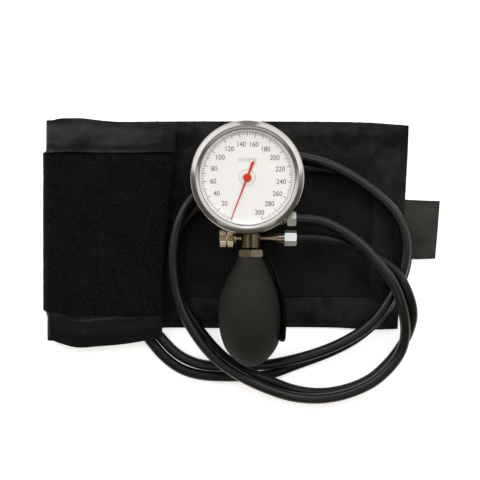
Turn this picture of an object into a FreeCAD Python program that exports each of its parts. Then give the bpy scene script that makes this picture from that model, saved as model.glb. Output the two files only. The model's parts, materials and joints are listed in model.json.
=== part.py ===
import FreeCAD, Part
import math
import os
import Sketcher

# Aneroid sphygmomanometer: palm gauge with valve, bulb and spoon handle, two rubber hoses and a hook-and-loop cuff.
# Millimetres. +Z up. The origin is under the middle of the object, on the surface that the cuff lies on.
# +X runs along the cuff towards its pull tab, +Y from the bulb towards the gauge.

doc = FreeCAD.newDocument("sphygmomanometer")
sheet = doc.addObject("Spreadsheet::Sheet", "Dims")
sheet.Label = "Dims"


class Dim:
    """A number with the spreadsheet expression that it comes from."""

    def __init__(self, num, text):
        self.num, self.text = float(num), text

    def _two(self, other, sign, back=False):
        a, b = (self, other if isinstance(other, Dim) else Dim(other, repr(float(other))))
        if back:
            a, b = b, a
        num = {"+": a.num + b.num, "-": a.num - b.num, "*": a.num * b.num, "/": a.num / b.num if b.num else 0.0}[sign]
        return Dim(num, "(%s %s %s)" % (a.text, sign, b.text))

    def __add__(self, o):
        return self._two(o, "+")

    def __radd__(self, o):
        return self._two(o, "+", True)

    def __sub__(self, o):
        return self._two(o, "-")

    def __rsub__(self, o):
        return self._two(o, "-", True)

    def __mul__(self, o):
        return self._two(o, "*")

    def __rmul__(self, o):
        return self._two(o, "*", True)

    def __truediv__(self, o):
        return self._two(o, "/")

    def __neg__(self):
        return self._two(-1.0, "*")


rows = []


def dim(alias, value):
    rows.append(alias)
    sheet.set("A%d" % len(rows), alias)
    sheet.set("B%d" % len(rows), str(float(value)))
    sheet.setAlias("B%d" % len(rows), alias)
    return Dim(value, "Dims." + alias)


# ---------------------------------------------------------------- driving dimensions
# gauge
gauge_x = dim("gauge_x", 2.9)          # gauge axis
gauge_y = dim("gauge_y", 39.6)
case_back = dim("case_back", 15.0)     # height of the back of the case
case_rad = dim("case_rad", 32.4)
case_wall = dim("case_wall", 1.2)
case_floor = dim("case_floor", 16.4)
rim_rad = dim("rim_rad", 33.8)
rim_top = dim("rim_top", 41.0)
dial_seat = dim("dial_seat", 37.8)
dial_rad = dim("dial_rad", 32.4)
dial_thick = dim("dial_thick", 0.6)
bezel_rad = dim("bezel_rad", 35.6)
bezel_low = dim("bezel_low", 35.4)
bezel_top = dim("bezel_top", 43.8)
sight_rad = dim("sight_rad", 30.2)     # clear opening over the dial
glass_thick = dim("glass_thick", 0.9)
gasket_thick = dim("gasket_thick", 0.5)
hand_len = dim("hand_len", 28.2)
hand_tail = dim("hand_tail", 10.8)
hand_hub = dim("hand_hub", 2.55)
# movement
gear_mod = dim("gear_mod", 0.3)
pinion_teeth = dim("pinion_teeth", 12)
sector_teeth = dim("sector_teeth", 132)   # teeth of the whole wheel that the sector is cut from
pivot_rad = dim("pivot_rad", 0.5)
arbor_rad = dim("arbor_rad", 0.6)
plate_low = dim("plate_low", 27.0)
plate_thick = dim("plate_thick", 1.0)
bridge_low = dim("bridge_low", 33.0)
sector_low = dim("sector_low", 30.2)
capsule_rad = dim("capsule_rad", 18.0)
rock_z = dim("rock_z", 25.4)
rock_dx = dim("rock_dx", -3.0)
# head
head_x = dim("head_x", 5.2)
head_z = dim("head_z", 28.5)
block_rad = dim("block_rad", 6.67)
block_top = dim("block_top", 6.2)
block_low = dim("block_low", 4.8)
cross_y = dim("cross_y", 1.72)
port_y = dim("port_y", 13.8)
knob_rad = dim("knob_rad", 5.85)
nut_flats = dim("nut_flats", 15.0)
hose_nut_flats = dim("hose_nut_flats", 8.9)
bulb_rad = dim("bulb_rad", 20.4)
bulb_start = dim("bulb_start", 10.4)
bulb_end = dim("bulb_end", 79.8)
bulb_wall = dim("bulb_wall", 2.3)
# hoses
hose_dia = dim("hose_dia", 6.7)
# cuff
lining_thick = dim("lining_thick", 0.8)
cuff_thick = dim("cuff_thick", 6.0)
bladder_len = dim("bladder_len", 214.0)
bladder_wide = dim("bladder_wide", 118.0)
fold_x = dim("fold_x", -123.2)
fold_z = dim("fold_z", 7.4)
flap_low = dim("flap_low", 8.0)
flap_top = dim("flap_top", 13.5)
patch_thick = dim("patch_thick", 1.2)
doc.recompute()

nodes = {}
failures = []


def num(v):
    return v.num if isinstance(v, Dim) else float(v)


def bind(obj, prop, v):
    if isinstance(v, Dim):
        obj.setExpression(prop, v.text)
    elif "." in prop:
        pass
    else:
        setattr(obj, prop, v)


def put(obj, x=0.0, y=0.0, z=0.0, axis=None, angle=0.0):
    rot = FreeCAD.Rotation(FreeCAD.Vector(*axis), angle) if axis else FreeCAD.Rotation()
    obj.Placement = FreeCAD.Placement(FreeCAD.Vector(num(x), num(y), num(z)), rot)
    for name, v in (("x", x), ("y", y), ("z", z)):
        if isinstance(v, Dim):
            obj.setExpression("Placement.Base." + name, v.text)
    return obj


def node(obj, name):
    obj.Label = name
    nodes[name] = obj
    return obj


def origin_plane(body, role):
    return [o for o in body.Origin.OriginFeatures if o.Role == role][0]


def outline(body, name, role, pts):
    """A closed, fully dimensioned polygon on one of the body's own planes. A coordinate may be a number or a Dim."""
    sk = body.newObject("Sketcher::SketchObject", name)
    sk.AttachmentSupport = [(origin_plane(body, role), "")]
    sk.MapMode = "FlatFace"
    n = len(pts)
    flat = [(num(a), num(b)) for a, b in pts]
    lines = [
        Part.LineSegment(FreeCAD.Vector(flat[i][0], flat[i][1], 0), FreeCAD.Vector(flat[(i + 1) % n][0], flat[(i + 1) % n][1], 0))
        for i in range(n)
    ]
    sk.addGeometry(lines, False)
    sk.addConstraint([Sketcher.Constraint("Coincident", i, 2, (i + 1) % n, 1) for i in range(n)])
    for i, (a, b) in enumerate(pts):
        for kind, v in (("DistanceX", a), ("DistanceY", b)):
            k = sk.addConstraint(Sketcher.Constraint(kind, -1, 1, i, 1, num(v)))
            if isinstance(v, Dim):
                sk.setExpression("Constraints[%d]" % k, v.text)
    return sk


def turned(name, pts, **where):
    """A body of revolution about its own Z from a profile of (radius, height) points."""
    body = doc.addObject("PartDesign::Body", name + "_body")
    sk = outline(body, name + "_profile", "XZ_Plane", pts)
    rev = body.newObject("PartDesign::Revolution", name + "_turn")
    rev.Profile = sk
    rev.ReferenceAxis = (sk, ["V_Axis"])
    rev.Angle = 360
    body.Tip = rev
    put(body, **where)
    return body


def plate(name, pts, thick, **where):
    """A flat plate: a polygon in XY, thickened upwards."""
    body = doc.addObject("PartDesign::Body", name + "_body")
    sk = outline(body, name + "_outline", "XY_Plane", pts)
    pad = body.newObject("PartDesign::Pad", name + "_pad")
    pad.Profile = sk
    bind(pad, "Length", thick)
    body.Tip = pad
    put(body, **where)
    return body


def cyl(name, radius, height, **where):
    c = doc.addObject("Part::Cylinder", name)
    bind(c, "Radius", radius)
    bind(c, "Height", height)
    return put(c, **where)


def box(name, x, y, z, dx, dy, dz):
    b = doc.addObject("Part::Box", name)
    bind(b, "Length", dx)
    bind(b, "Width", dy)
    bind(b, "Height", dz)
    return put(b, x, y, z)


def fuse(name, *parts):
    f = doc.addObject("Part::MultiFuse", name)
    f.Shapes = list(parts)
    return f


def cut(name, base, *tools):
    tool = tools[0] if len(tools) == 1 else fuse(name + "_tools", *tools)
    c = doc.addObject("Part::Cut", name)
    c.Base, c.Tool = base, tool
    return c


def group(name, *parts):
    g = doc.addObject("Part::Compound", name)
    g.Links = list(parts)
    return g


def shaped(name, shape):
    f = doc.addObject("Part::Feature", name)
    f.Shape = shape
    return f


V = FreeCAD.Vector
ALONG_X = dict(axis=(0, 1, 0), angle=90)    # own Z turned to +X
TO_MINUS_X = dict(axis=(0, 1, 0), angle=-90)
DOWN_Y = dict(axis=(1, 0, 0), angle=90)     # own Z turned to -Y

# ---------------------------------------------------------------- gauge: case, bezel, glass, dial
inner = case_rad - case_wall
case_cup = turned("case_cup", [
    (0, case_back), (25.0, case_back), (29.6, case_back + 1.3), (31.9, case_back + 4.4), (case_rad, case_back + 8.0),
    (case_rad, 33.8), (rim_rad, 35.1), (rim_rad, rim_top), (dial_rad + 0.1, rim_top), (dial_rad + 0.1, dial_seat),
    (inner, dial_seat), (inner, 23.2), (30.8, 20.2), (28.8, 17.6), (24.8, case_floor), (0, case_floor)],
    x=gauge_x, y=gauge_y)
stud_boss = cyl("stud_boss", 5.2, 4.0, x=head_x, y=10.2, z=head_z, **DOWN_Y)
port_boss = cyl("port_boss", 4.6, 8.0, x=17.5, y=port_y, z=head_z, **ALONG_X)
case_room = cyl("case_room", inner, 14.0, x=gauge_x, y=gauge_y, z=22.9)
bosses = cut("case_bosses", fuse("case_boss_pair", stud_boss, port_boss), case_room)
stud_hole = cyl("stud_hole", 2.0, 8.0, x=head_x, y=12.0, z=head_z, **DOWN_Y)
port_thread = cyl("port_thread", 2.5, 4.1, x=21.5, y=port_y, z=head_z, **ALONG_X)
port_bore = cyl("port_bore", 1.0, 6.0, x=16.5, y=port_y, z=head_z, **ALONG_X)
node(cut("gauge_case_cut", fuse("case_with_bosses", case_cup, bosses), stud_hole, port_thread, port_bore), "gauge_case")

node(turned("bezel_ring", [
    (rim_rad + 0.1, bezel_low), (35.0, bezel_low), (35.4, bezel_low + 0.4), (bezel_rad, bezel_low + 1.1), (bezel_rad, 40.8), (35.4, 41.8), (34.8, 42.6),
    (32.3, bezel_top), (32.0, 43.7), (31.8, 42.9), (30.5, 42.6), (sight_rad, 42.4), (sight_rad, rim_top + 1.1), (31.8, rim_top + 1.1), (31.8, rim_top + 1.5),
    (33.5, rim_top + 1.5), (33.5, rim_top), (rim_rad + 0.1, rim_top)],
    x=gauge_x, y=gauge_y), "bezel_ring")
node(turned("bezel_gasket", [(31.9, 41.95), (33.4, 41.95), (33.4, gasket_thick + 41.95), (31.9, gasket_thick + 41.95)],
            x=gauge_x, y=gauge_y), "bezel_gasket")
node(cyl("crystal", 33.4, glass_thick, x=gauge_x, y=gauge_y, z=rim_top), "crystal")
node(cut("dial_cut", cyl("dial_disc", dial_rad, dial_thick, x=gauge_x, y=gauge_y, z=dial_seat),
         cyl("dial_hole", 1.5, 2.0, x=gauge_x, y=gauge_y, z=37.0)), "dial_plate")
node(turned("dial_ring", [(29.15, 38.4), (dial_rad, 38.4), (dial_rad, rim_top), (31.8, rim_top), (31.8, 40.2), (30.0, 40.2), (29.85, 40.9), (29.35, 40.95), (29.15, 40.7)],
            x=gauge_x, y=gauge_y), "dial_ring")

# ---------------------------------------------------------------- gauge: pointer and movement
# The pointer rests at zero, 21 degrees past straight down on the left.
rest = math.radians(-111.0)
ux, uy = math.cos(rest), math.sin(rest)


def on_hand(along, across):
    return (along * ux - across * uy, along * uy + across * ux)


hand = [on_hand(a, b) for a, b in (
    (0, 0.95), (hand_len.num - 1.0, 0.28), (hand_len.num, 0.0), (hand_len.num - 1.0, -0.28), (0, -0.95),
    (-hand_tail.num + 0.5, -0.7), (-hand_tail.num, -0.45), (-hand_tail.num, 0.45), (-hand_tail.num + 0.5, 0.7))]
node(cut("pointer_cut", fuse("pointer_parts",
         plate("pointer_blade", hand, 0.4, x=gauge_x, y=gauge_y, z=39.2),
         cyl("pointer_hub", hand_hub, 1.4, x=gauge_x, y=gauge_y, z=38.9)),
         cyl("pointer_seat", arbor_rad, 1.0, x=gauge_x, y=gauge_y, z=38.9)), "pointer")


def gear_points(teeth, mod, addendum, dedendum, backlash, first, count):
    """Involute teeth as polygon points, counterclockwise, with the middle of tooth k at first + k*pitch."""
    pitch_rad, base = mod * teeth / 2, mod * teeth / 2 * math.cos(math.radians(20))
    tip, root = pitch_rad + addendum, pitch_rad - dedendum
    inv = lambda a: math.tan(a) - a
    half = math.pi / (2 * teeth) - backlash / (2 * pitch_rad)

    def half_at(r):
        r = max(r, base)
        return half + inv(math.radians(20)) - inv(math.acos(base / r))

    pts = []
    low = max(root, base)
    steps = [low + (tip - low) * k / 4 for k in range(5)]
    for k in range(count):
        mid = first + k * 2 * math.pi / teeth
        side = ([(root, half_at(low))] if root < base else []) + [(r, half_at(r)) for r in steps]
        for r, h in side:
            pts.append((r * math.cos(mid - h), r * math.sin(mid - h)))
        for r, h in reversed(side):
            pts.append((r * math.cos(mid + h), r * math.sin(mid + h)))
    return pts


mod = gear_mod.num
dist = mod * (pinion_teeth.num + sector_teeth.num) / 2          # centre distance
sx = rock_dx.num
sy = math.sqrt(dist * dist - sx * sx)                            # sector arbor, from the gauge axis
to_hub = math.atan2(-sy, -sx)                                    # from the sector arbor to the pinion
swing = math.radians(319.0) * pinion_teeth.num / sector_teeth.num
start = to_hub - swing / 2                                       # middle of the sector at rest


def prism(pts, low, high, cx=0.0, cy=0.0):
    ring = [V(x + cx, y + cy, low) for x, y in pts]
    return Part.Face(Part.makePolygon(ring + ring[:1])).extrude(V(0, 0, high - low))


GX, GY = gauge_x.num, gauge_y.num
SX, SY = GX + sx, GY + sy
# The sector starts with a tooth on the line of centres, at rest, and the pinion with a gap there.
pitch_s = 2 * math.pi / sector_teeth.num
count_s = 17
k_mid = round((to_hub - (start - 8 * pitch_s)) / pitch_s)
first_s = to_hub - k_mid * pitch_s
teeth_s = gear_points(sector_teeth.num, mod, 0.6 * mod, 1.25 * mod, 0.05, first_s, count_s)
edge_a = first_s - 0.5 * pitch_s
edge_b = first_s + (count_s - 0.5) * pitch_s
root_s = mod * sector_teeth.num / 2 - 1.25 * mod
body_pts = [(root_s * math.cos(edge_a), root_s * math.sin(edge_a))] + teeth_s + [(root_s * math.cos(edge_b), root_s * math.sin(edge_b))]
rim_in = root_s - 2.2
arc_in = [(rim_in * math.cos(edge_b + (edge_a - edge_b) * k / 8), rim_in * math.sin(edge_b + (edge_a - edge_b) * k / 8)) for k in range(9)]
rim = prism(body_pts + arc_in, sector_low.num, sector_low.num + 1.0, SX, SY)
mid_s = (edge_a + edge_b) / 2


def bar(cx, cy, ang, near, far, half, low, high):
    c, s = math.cos(ang), math.sin(ang)
    pts = [(near * c - k * s, near * s + k * c) for k in (-half, half)] + [(far * c - k * s, far * s + k * c) for k in (half, -half)]
    return prism(pts, low, high, cx, cy)


lo, hi = sector_low.num, sector_low.num + 1.0
tail_ang = math.pi / 2 - swing / 2
sector = rim.fuse([
    bar(SX, SY, mid_s - 0.25, 1.0, rim_in + 0.6, 0.8, lo, hi),
    bar(SX, SY, mid_s + 0.25, 1.0, rim_in + 0.6, 0.8, lo, hi),
    bar(SX, SY, tail_ang, 1.0, 5.6, 0.6, lo, hi),
    Part.makeCylinder(2.2, 1.0, V(SX, SY, lo))]).removeSplitter()
sector = sector.cut(Part.makeCylinder(0.8, 3.0, V(SX, SY, lo - 1.0)))
node(shaped("sector_gear_solid", sector), "sector_gear")

node(turned("sector_arbor", [
    (0, plate_low + 0.1), (pivot_rad, plate_low + 0.1), (pivot_rad, plate_low + plate_thick + 0.06), (0.8, plate_low + plate_thick + 0.06),
    (0.8, bridge_low - 0.06), (pivot_rad, bridge_low - 0.06), (pivot_rad, bridge_low + 0.9), (0, bridge_low + 0.9)],
    x=SX, y=SY), "sector_arbor")

teeth_p = gear_points(int(pinion_teeth.num), mod, 1.0 * mod, 1.0 * mod, 0.05, to_hub + math.pi + math.pi / pinion_teeth.num, int(pinion_teeth.num))
pinion = prism(teeth_p, 29.4, 32.0, GX, GY)
shaft = Part.makeCylinder(pivot_rad.num, 1.06, V(GX, GY, 27.1))
shaft = shaft.fuse([Part.makeCylinder(arbor_rad.num, 4.8, V(GX, GY, 28.16)), Part.makeCylinder(pivot_rad.num, 1.4, V(GX, GY, 32.9)),
                    Part.makeCylinder(1.2, 1.2, V(GX, GY, 34.3)), Part.makeCylinder(arbor_rad.num, 4.4, V(GX, GY, 35.5))])
node(shaped("pinion_arbor_solid", shaft.fuse(pinion).removeSplitter()), "pinion_arbor")

# hairspring: a flat spiral strip from the collet to a stud on the bridge
turns, r_in, r_out, strip = 5, 1.75, 8.0, 0.18
spiral_in, spiral_out = [], []
for k in range(turns * 24 + 1):
    a = 2 * math.pi * k / 24 + 0.4
    r = r_in + (r_out - r_in) * k / (turns * 24)
    spiral_in.append((r * math.cos(a), r * math.sin(a)))
    spiral_out.append(((r + strip) * math.cos(a), (r + strip) * math.sin(a)))
spring = prism(spiral_in + spiral_out[::-1], 34.9, 35.4, GX, GY)
a_end = 2 * math.pi * turns + 0.4
stud = Part.makeCylinder(0.7, 1.6, V(GX + (r_out + 0.5) * math.cos(a_end), GY + (r_out + 0.5) * math.sin(a_end), 34.0))
inner_tab = bar(GX, GY, 0.4, 1.25, r_in + 0.1, 0.15, 34.9, 35.4)
node(shaped("hairspring_solid", spring.fuse([stud, inner_tab]).removeSplitter()), "hairspring")

# rocking shaft: a cross shaft with a foot over the capsule pad and an upright finger behind the sector's tail
RX, RZ = GX + rock_dx.num, rock_z.num
rock = Part.makeCylinder(0.8, 28.6, V(RX, GY - 1.2, RZ), V(0, 1, 0))
foot = math.radians(-34.2)
tip = V(RX + 3.2 * math.cos(foot), 0, RZ + 3.2 * math.sin(foot))


def web(a, b, half, y0, y1):
    """A flat arm in XZ between two points, from y0 to y1."""
    dx, dz = b.x - a.x, b.z - a.z
    n = math.hypot(dx, dz)
    nx, nz = -dz / n * half, dx / n * half
    pts = [V(a.x + nx, y0, a.z + nz), V(b.x + nx, y0, b.z + nz), V(b.x - nx, y0, b.z - nz), V(a.x - nx, y0, a.z - nz)]
    return Part.Face(Part.makePolygon(pts + pts[:1])).extrude(V(0, y1 - y0, 0))


finger_top = V(RX + 3.6, 0, RZ + 6.2)
rock = rock.fuse([
    web(V(RX, 0, RZ), tip, 0.5, GY - 0.8, GY + 0.8), Part.makeCylinder(0.5, 1.6, V(tip.x, GY - 0.8, tip.z), V(0, 1, 0)),
    Part.makeCylinder(1.4, 1.6, V(RX, GY - 0.8, RZ), V(0, 1, 0)),
    web(V(RX, 0, RZ), finger_top, 0.5, GY + 25.9, GY + 26.9), Part.makeCylinder(0.5, 1.0, V(finger_top.x, GY + 25.9, finger_top.z), V(0, 1, 0)),
    Part.makeCylinder(1.4, 1.0, V(RX, GY + 25.9, RZ), V(0, 1, 0))]).removeSplitter()
node(shaped("rocking_shaft_solid", rock), "rocking_shaft")

# movement plate with the two lugs that carry the rocking shaft
pillar_at = [(-10.5, -4.5), (10.5, -4.5), (-9.5, 20.5), (5.0, 22.0)]
post_at = [(23 * math.cos(math.radians(a)), 23 * math.sin(math.radians(a))) for a in (-150, -30, 55)]
lug_a = box("lug_front", gauge_x + rock_dx - 1.8, gauge_y + 3.0, 23.6, 3.6, 1.2, 3.6)
lug_b = box("lug_rear", gauge_x + rock_dx - 1.8, gauge_y + 21.4, 23.6, 3.6, 1.2, 3.6)
plate_disc = cyl("movement_disc", 25.0, plate_thick, x=gauge_x, y=gauge_y, z=plate_low)
holes = [cyl("shaft_hole", 0.85, 30.0, x=gauge_x + rock_dx, y=gauge_y + 28.0, z=rock_z, **DOWN_Y),
         cyl("plate_pinion_hole", pivot_rad + 0.05, 3.0, x=gauge_x, y=gauge_y, z=26.0),
         cyl("plate_sector_hole", pivot_rad + 0.05, 3.0, x=SX, y=SY, z=26.0)]
holes += [cyl("plate_screw_hole_%d" % i, 0.6, 3.0, x=GX + px, y=GY + py, z=26.0) for i, (px, py) in enumerate(pillar_at)]
node(cut("movement_plate_cut", fuse("movement_plate_parts", plate_disc, lug_a, lug_b), *holes), "movement_plate")

bridge_pts = [(-12.6, -7.0), (12.6, -7.0), (13.2, -3.0), (7.6, 22.6), (5.6, 24.6), (-10.0, 24.6), (-12.2, 22.4)]
bridge_holes = [cyl("bridge_pinion_hole", pivot_rad + 0.05, 3.0, x=gauge_x, y=gauge_y, z=32.0),
                cyl("bridge_sector_hole", pivot_rad + 0.05, 3.0, x=SX, y=SY, z=32.0)]
bridge_holes += [cyl("bridge_screw_hole_%d" % i, 0.6, 3.0, x=GX + px, y=GY + py, z=32.0) for i, (px, py) in enumerate(pillar_at)]
node(cut("bridge_plate_cut", plate("bridge_blank", bridge_pts, plate_thick, x=gauge_x, y=gauge_y, z=bridge_low), *bridge_holes), "bridge_plate")
node(group("plate_pillars_group", *[
    turned("pillar_%d" % i, [(0.56, plate_low + plate_thick), (1.2, plate_low + plate_thick), (1.2, bridge_low), (0.56, bridge_low)],
           x=GX + px, y=GY + py) for i, (px, py) in enumerate(pillar_at)]), "plate_pillars")
screws = []
for i, (px, py) in enumerate(pillar_at):
    screws.append(turned("top_screw_%d" % i, [(0, 31.5), (0.55, 31.5), (0.55, 34.0), (1.1, 34.0), (1.1, 34.6), (0, 34.6)], x=GX + px, y=GY + py))
    screws.append(turned("low_screw_%d" % i, [(0, 26.4), (1.1, 26.4), (1.1, 27.0), (0.55, 27.0), (0.55, 29.5), (0, 29.5)], x=GX + px, y=GY + py))
node(group("movement_screws_group", *screws), "movement_screws")
node(group("frame_posts_group", *[
    cyl("frame_post_%d" % i, 1.6, plate_low - case_floor, x=GX + px, y=GY + py, z=case_floor) for i, (px, py) in enumerate(post_at)]), "frame_posts")

# capsule: two corrugated diaphragms, joined at the rim, fed through the base
cap = [(0.5, 18.6), (6.0, 18.9), (8.0, 18.6), (10.0, 18.9), (12.0, 18.6), (14.0, 18.9), (16.0, 18.9), (capsule_rad, 20.0),
       (capsule_rad, 20.4), (16.0, 21.5), (14.0, 21.5), (12.0, 21.8), (10.0, 21.5), (8.0, 21.8), (6.0, 21.5), (4.0, 21.8), (0, 21.8),
       (0, 21.45), (4.0, 21.45), (6.0, 21.15), (8.0, 21.45), (10.0, 21.15), (12.0, 21.45), (14.0, 21.15), (16.0, 21.15), (capsule_rad - 1.0, 20.4),
       (capsule_rad - 1.0, 20.0), (16.0, 19.25), (14.0, 19.25), (12.0, 18.95), (10.0, 19.25), (8.0, 18.95), (6.0, 19.25), (0.5, 18.95)]
node(turned("capsule", cap, x=gauge_x, y=gauge_y), "capsule")
node(cut("capsule_base_cut", cyl("capsule_base_disc", 4.0, 2.2, x=gauge_x, y=gauge_y, z=case_floor),
         cyl("base_rise", 0.6, 1.8, x=gauge_x, y=gauge_y, z=16.9),
         cyl("base_feed", 0.5, 5.0, x=gauge_x, y=gauge_y, z=17.45, **DOWN_Y)), "capsule_base")
node(turned("capsule_pad", [(0, 21.9), (2.4, 21.9), (2.4, 22.3), (1.5, 22.9), (0, 22.9)], x=gauge_x, y=gauge_y), "capsule_pad")


# ---------------------------------------------------------------- tubes along straight runs joined by arcs
def rounded_path(pts, share=0.45, fixed=None):
    """Straight runs joined by tangent arcs, as a wire, with each arc's radius and the path's length."""
    pts = [V(*p) for p in pts]
    edges, radii, at, total = [], [], pts[0], 0.0
    for i in range(1, len(pts) - 1):
        u, v = pts[i] - pts[i - 1], pts[i + 1] - pts[i]
        reach = share * min(u.Length, v.Length)
        u.normalize()
        v.normalize()
        turn = math.acos(max(-1.0, min(1.0, u.dot(v))))
        radius = reach / math.tan(turn / 2)
        if fixed:
            radius = fixed
            reach = fixed * math.tan(turn / 2)
        radii.append(radius)
        a, b = pts[i] - u * reach, pts[i] + v * reach
        bend = (v - u)
        bend.normalize()
        mid = pts[i] + bend * (radius / math.cos(turn / 2) - radius)
        edges.append(Part.LineSegment(at, a).toShape())
        edges.append(Part.Arc(a, mid, b).toShape())
        total += (a - at).Length + radius * turn
        at = b
    edges.append(Part.LineSegment(at, pts[-1]).toShape())
    total += (pts[-1] - at).Length
    return Part.Wire(edges), radii, total


def pipe(wire, radius):
    start_edge = wire.Edges[0]
    along = start_edge.tangentAt(start_edge.FirstParameter)
    ring = Part.Wire(Part.makeCircle(radius, start_edge.valueAt(start_edge.FirstParameter), along))
    solid = wire.makePipeShell([ring], True, False)
    return solid if solid.ShapeType == "Solid" else Part.Solid(solid)


feed, _, _ = rounded_path([(20.3, port_y.num, head_z.num), (12.6, port_y.num, head_z.num), (12.6, port_y.num, 23.5),
                           (10.0, 20.0, 17.45), (GX, GY - 12.0, 17.45), (GX, GY - 4.0, 17.45)], fixed=2.6)
node(shaped("pressure_tube_solid", pipe(feed, 1.0).cut(pipe(feed, 0.5))), "pressure_tube")

# ---------------------------------------------------------------- head: valve block, nut, handle
block = turned("block_turned", [
    (0, -block_top), (block_rad - 0.6, -block_top), (block_rad, 0.6 - block_top), (block_rad, block_low - 0.4), (block_rad - 0.4, block_low),
    (5.2, block_low), (5.2, 10.2), (4.4, 10.2), (4.4, 12.0), (4.0, 12.4), (4.4, 14.0), (4.0, 14.4), (4.4, 16.0), (4.0, 17.0), (0, 17.0)],
    x=head_x, z=head_z, **DOWN_Y)
block_cuts = [
    cyl("check_chamber", 3.0, 11.9, x=head_x, y=-5.2, z=head_z, **DOWN_Y),
    cyl("rise_bore", 1.2, 8.0, x=head_x, y=cross_y, z=head_z, **DOWN_Y),
    cyl("stud_socket", 2.0, 2.7, x=head_x, y=block_top + 0.1, z=head_z, **DOWN_Y),
    cyl("spigot_way", 1.2, 5.0, x=head_x, y=cross_y, z=head_z, **ALONG_X),
    cyl("spigot_socket", 2.55, 6.0, x=8.6, y=cross_y, z=head_z, **ALONG_X),
    cyl("needle_seat", 1.0, 3.0, x=3.0, y=cross_y, z=head_z, **ALONG_X),
    cyl("gland_socket", 2.6, 6.4, x=-3.0, y=cross_y, z=head_z, **ALONG_X)]
node(cut("valve_block_cut", block, *block_cuts), "valve_block")
node(cyl("head_stud", 2.0, 4.8, x=head_x, y=8.4, z=head_z, **DOWN_Y), "head_stud")


def hexagon(flats, turn=0.0):
    r = flats / math.sqrt(3)
    return [(r * math.cos(math.radians(turn + 60 * k)), r * math.sin(math.radians(turn + 60 * k))) for k in range(6)]


def chamfered_hex(name, flats, length, bore, turn, chamfer=0.7):
    """A hexagonal nut along its own Z with turned corners and a bore."""
    blank = plate(name + "_blank", hexagon(flats, turn), length)
    r = flats / math.sqrt(3)
    lathe = turned(name + "_lathe", [(bore, 0), (r - chamfer, 0), (r + 0.05, chamfer * 0.7), (r + 0.05, length - chamfer * 0.7),
                                    (r - chamfer, length), (bore, length)])
    both = doc.addObject("Part::Common", name + "_common")
    both.Base, both.Tool = blank, lathe
    return both


ring = chamfered_hex("ring_nut", nut_flats.num, 4.6, 5.25, 30.0)
node(put(ring, head_x, -5.7, head_z, **DOWN_Y), "ring_nut")

washer = turned("handle_washer", [(5.25, block_low), (7.6, block_low), (7.6, block_low + 0.9), (5.25, block_low + 0.9)],
                x=head_x, z=head_z, **DOWN_Y)
outer_edge = [(12.3, -4.8), (14.7, -5.6), (19.9, -14.3), (24.0, -24.0), (26.7, -34.2), (27.6, -41.5), (27.7, -50.5), (27.4, -58.4), (26.9, -62.6), (25.9, -63.8)]
inner_edge = [(25.4, -63.2), (25.9, -61.8), (26.2, -58.0), (26.5, -50.5), (26.4, -41.8), (25.5, -34.6), (22.9, -24.6), (18.9, -14.9), (14.4, -6.9), (13.5, -5.68), (12.3, -5.65)]
blade = plate("handle_blade", outer_edge + inner_edge, 22.0, z=17.5)
node(fuse("spoon_handle_parts", washer, blade), "spoon_handle")

# ---------------------------------------------------------------- head: release valve
bx = head_x.num


def knurled(name, x0, x1, outer, root, teeth):
    pts = []
    for k in range(teeth * 2):
        a = math.pi * k / teeth
        r = outer if k % 2 == 0 else root
        pts.append(V(x0, cross_y.num + r * math.cos(a), head_z.num + r * math.sin(a)))
    return Part.Face(Part.makePolygon(pts + pts[:1])).extrude(V(x1 - x0, 0, 0))


knob = knurled("band_a", -14.3, -10.3, knob_rad.num, knob_rad.num - 0.45, 40)
knob = knob.fuse([
    knurled("band_b", -9.6, -5.8, knob_rad.num, knob_rad.num - 0.45, 40),
    Part.makeCylinder(5.0, 9.3, V(-14.7, cross_y.num, head_z.num), V(1, 0, 0)),
    Part.makeCylinder(4.2, 0.9, V(-5.0, cross_y.num, head_z.num), V(1, 0, 0)),
    Part.makeCylinder(3.2, 1.6, V(-6.0, cross_y.num, head_z.num), V(1, 0, 0))]).removeSplitter()
knob = knob.cut(Part.makeCylinder(1.53, 6.0, V(-9.1, cross_y.num, head_z.num), V(1, 0, 0)))
node(shaped("valve_knob_solid", knob), "valve_knob")
node(turned("valve_needle", [(0, -9.0), (1.45, -9.0), (1.45, 2.6), (0.3, 4.4), (0, 4.4)], y=cross_y, z=head_z, **ALONG_X), "valve_needle")
node(turned("valve_gland", [(1.52, -1.3), (2.6, -1.3), (2.6, 1.2), (1.52, 1.2)], y=cross_y, z=head_z, **ALONG_X), "valve_gland")
oring = doc.addObject("Part::Torus", "oring_torus")
oring.Radius1, oring.Radius2 = 2.05, 0.5
node(put(oring, 1.8, cross_y, head_z, **ALONG_X), "valve_oring")

# outlet check valve in the block's lower end
node(turned("outlet_valve_seat", [(1.2, 9.2), (3.0, 9.2), (3.0, 16.8), (1.2, 16.8)], x=head_x, z=head_z, **DOWN_Y), "outlet_valve_seat")
node(turned("outlet_valve_disc", [(0, 8.3), (2.3, 8.3), (2.3, 9.15), (0, 9.15)], x=head_x, z=head_z, **DOWN_Y), "outlet_valve_disc")

# ---------------------------------------------------------------- bulb: a hollow rubber egg with its inlet valve
bulb_out = [(7.9, bulb_start.num), (9.0, 13.0), (11.0, 17.3), (15.4, 25.6), (18.6, 33.2), (20.2, 42.0), (bulb_rad.num, 47.2), (20.2, 51.5),
            (19.0, 58.6), (15.7, 67.2), (10.9, 73.4), (6.4, 77.6), (4.9, bulb_end.num - 1.2)]
bulb_in = [(4.9, 70.2), (9.3, 69.6), (13.6, 65.0), (16.7, 57.6), (17.9, 51.0), (bulb_rad.num - bulb_wall.num, 47.2), (17.9, 42.6), (16.4, 34.4),
           (13.2, 27.0), (9.0, 20.0), (4.6, 17.6)]


def spline(pts):
    c = Part.BSplineCurve()
    c.interpolate([V(r, 0, s) for r, s in pts])
    return c.toShape()


def straight(a, b):
    return Part.LineSegment(V(a[0], 0, a[1]), V(b[0], 0, b[1])).toShape()


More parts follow.
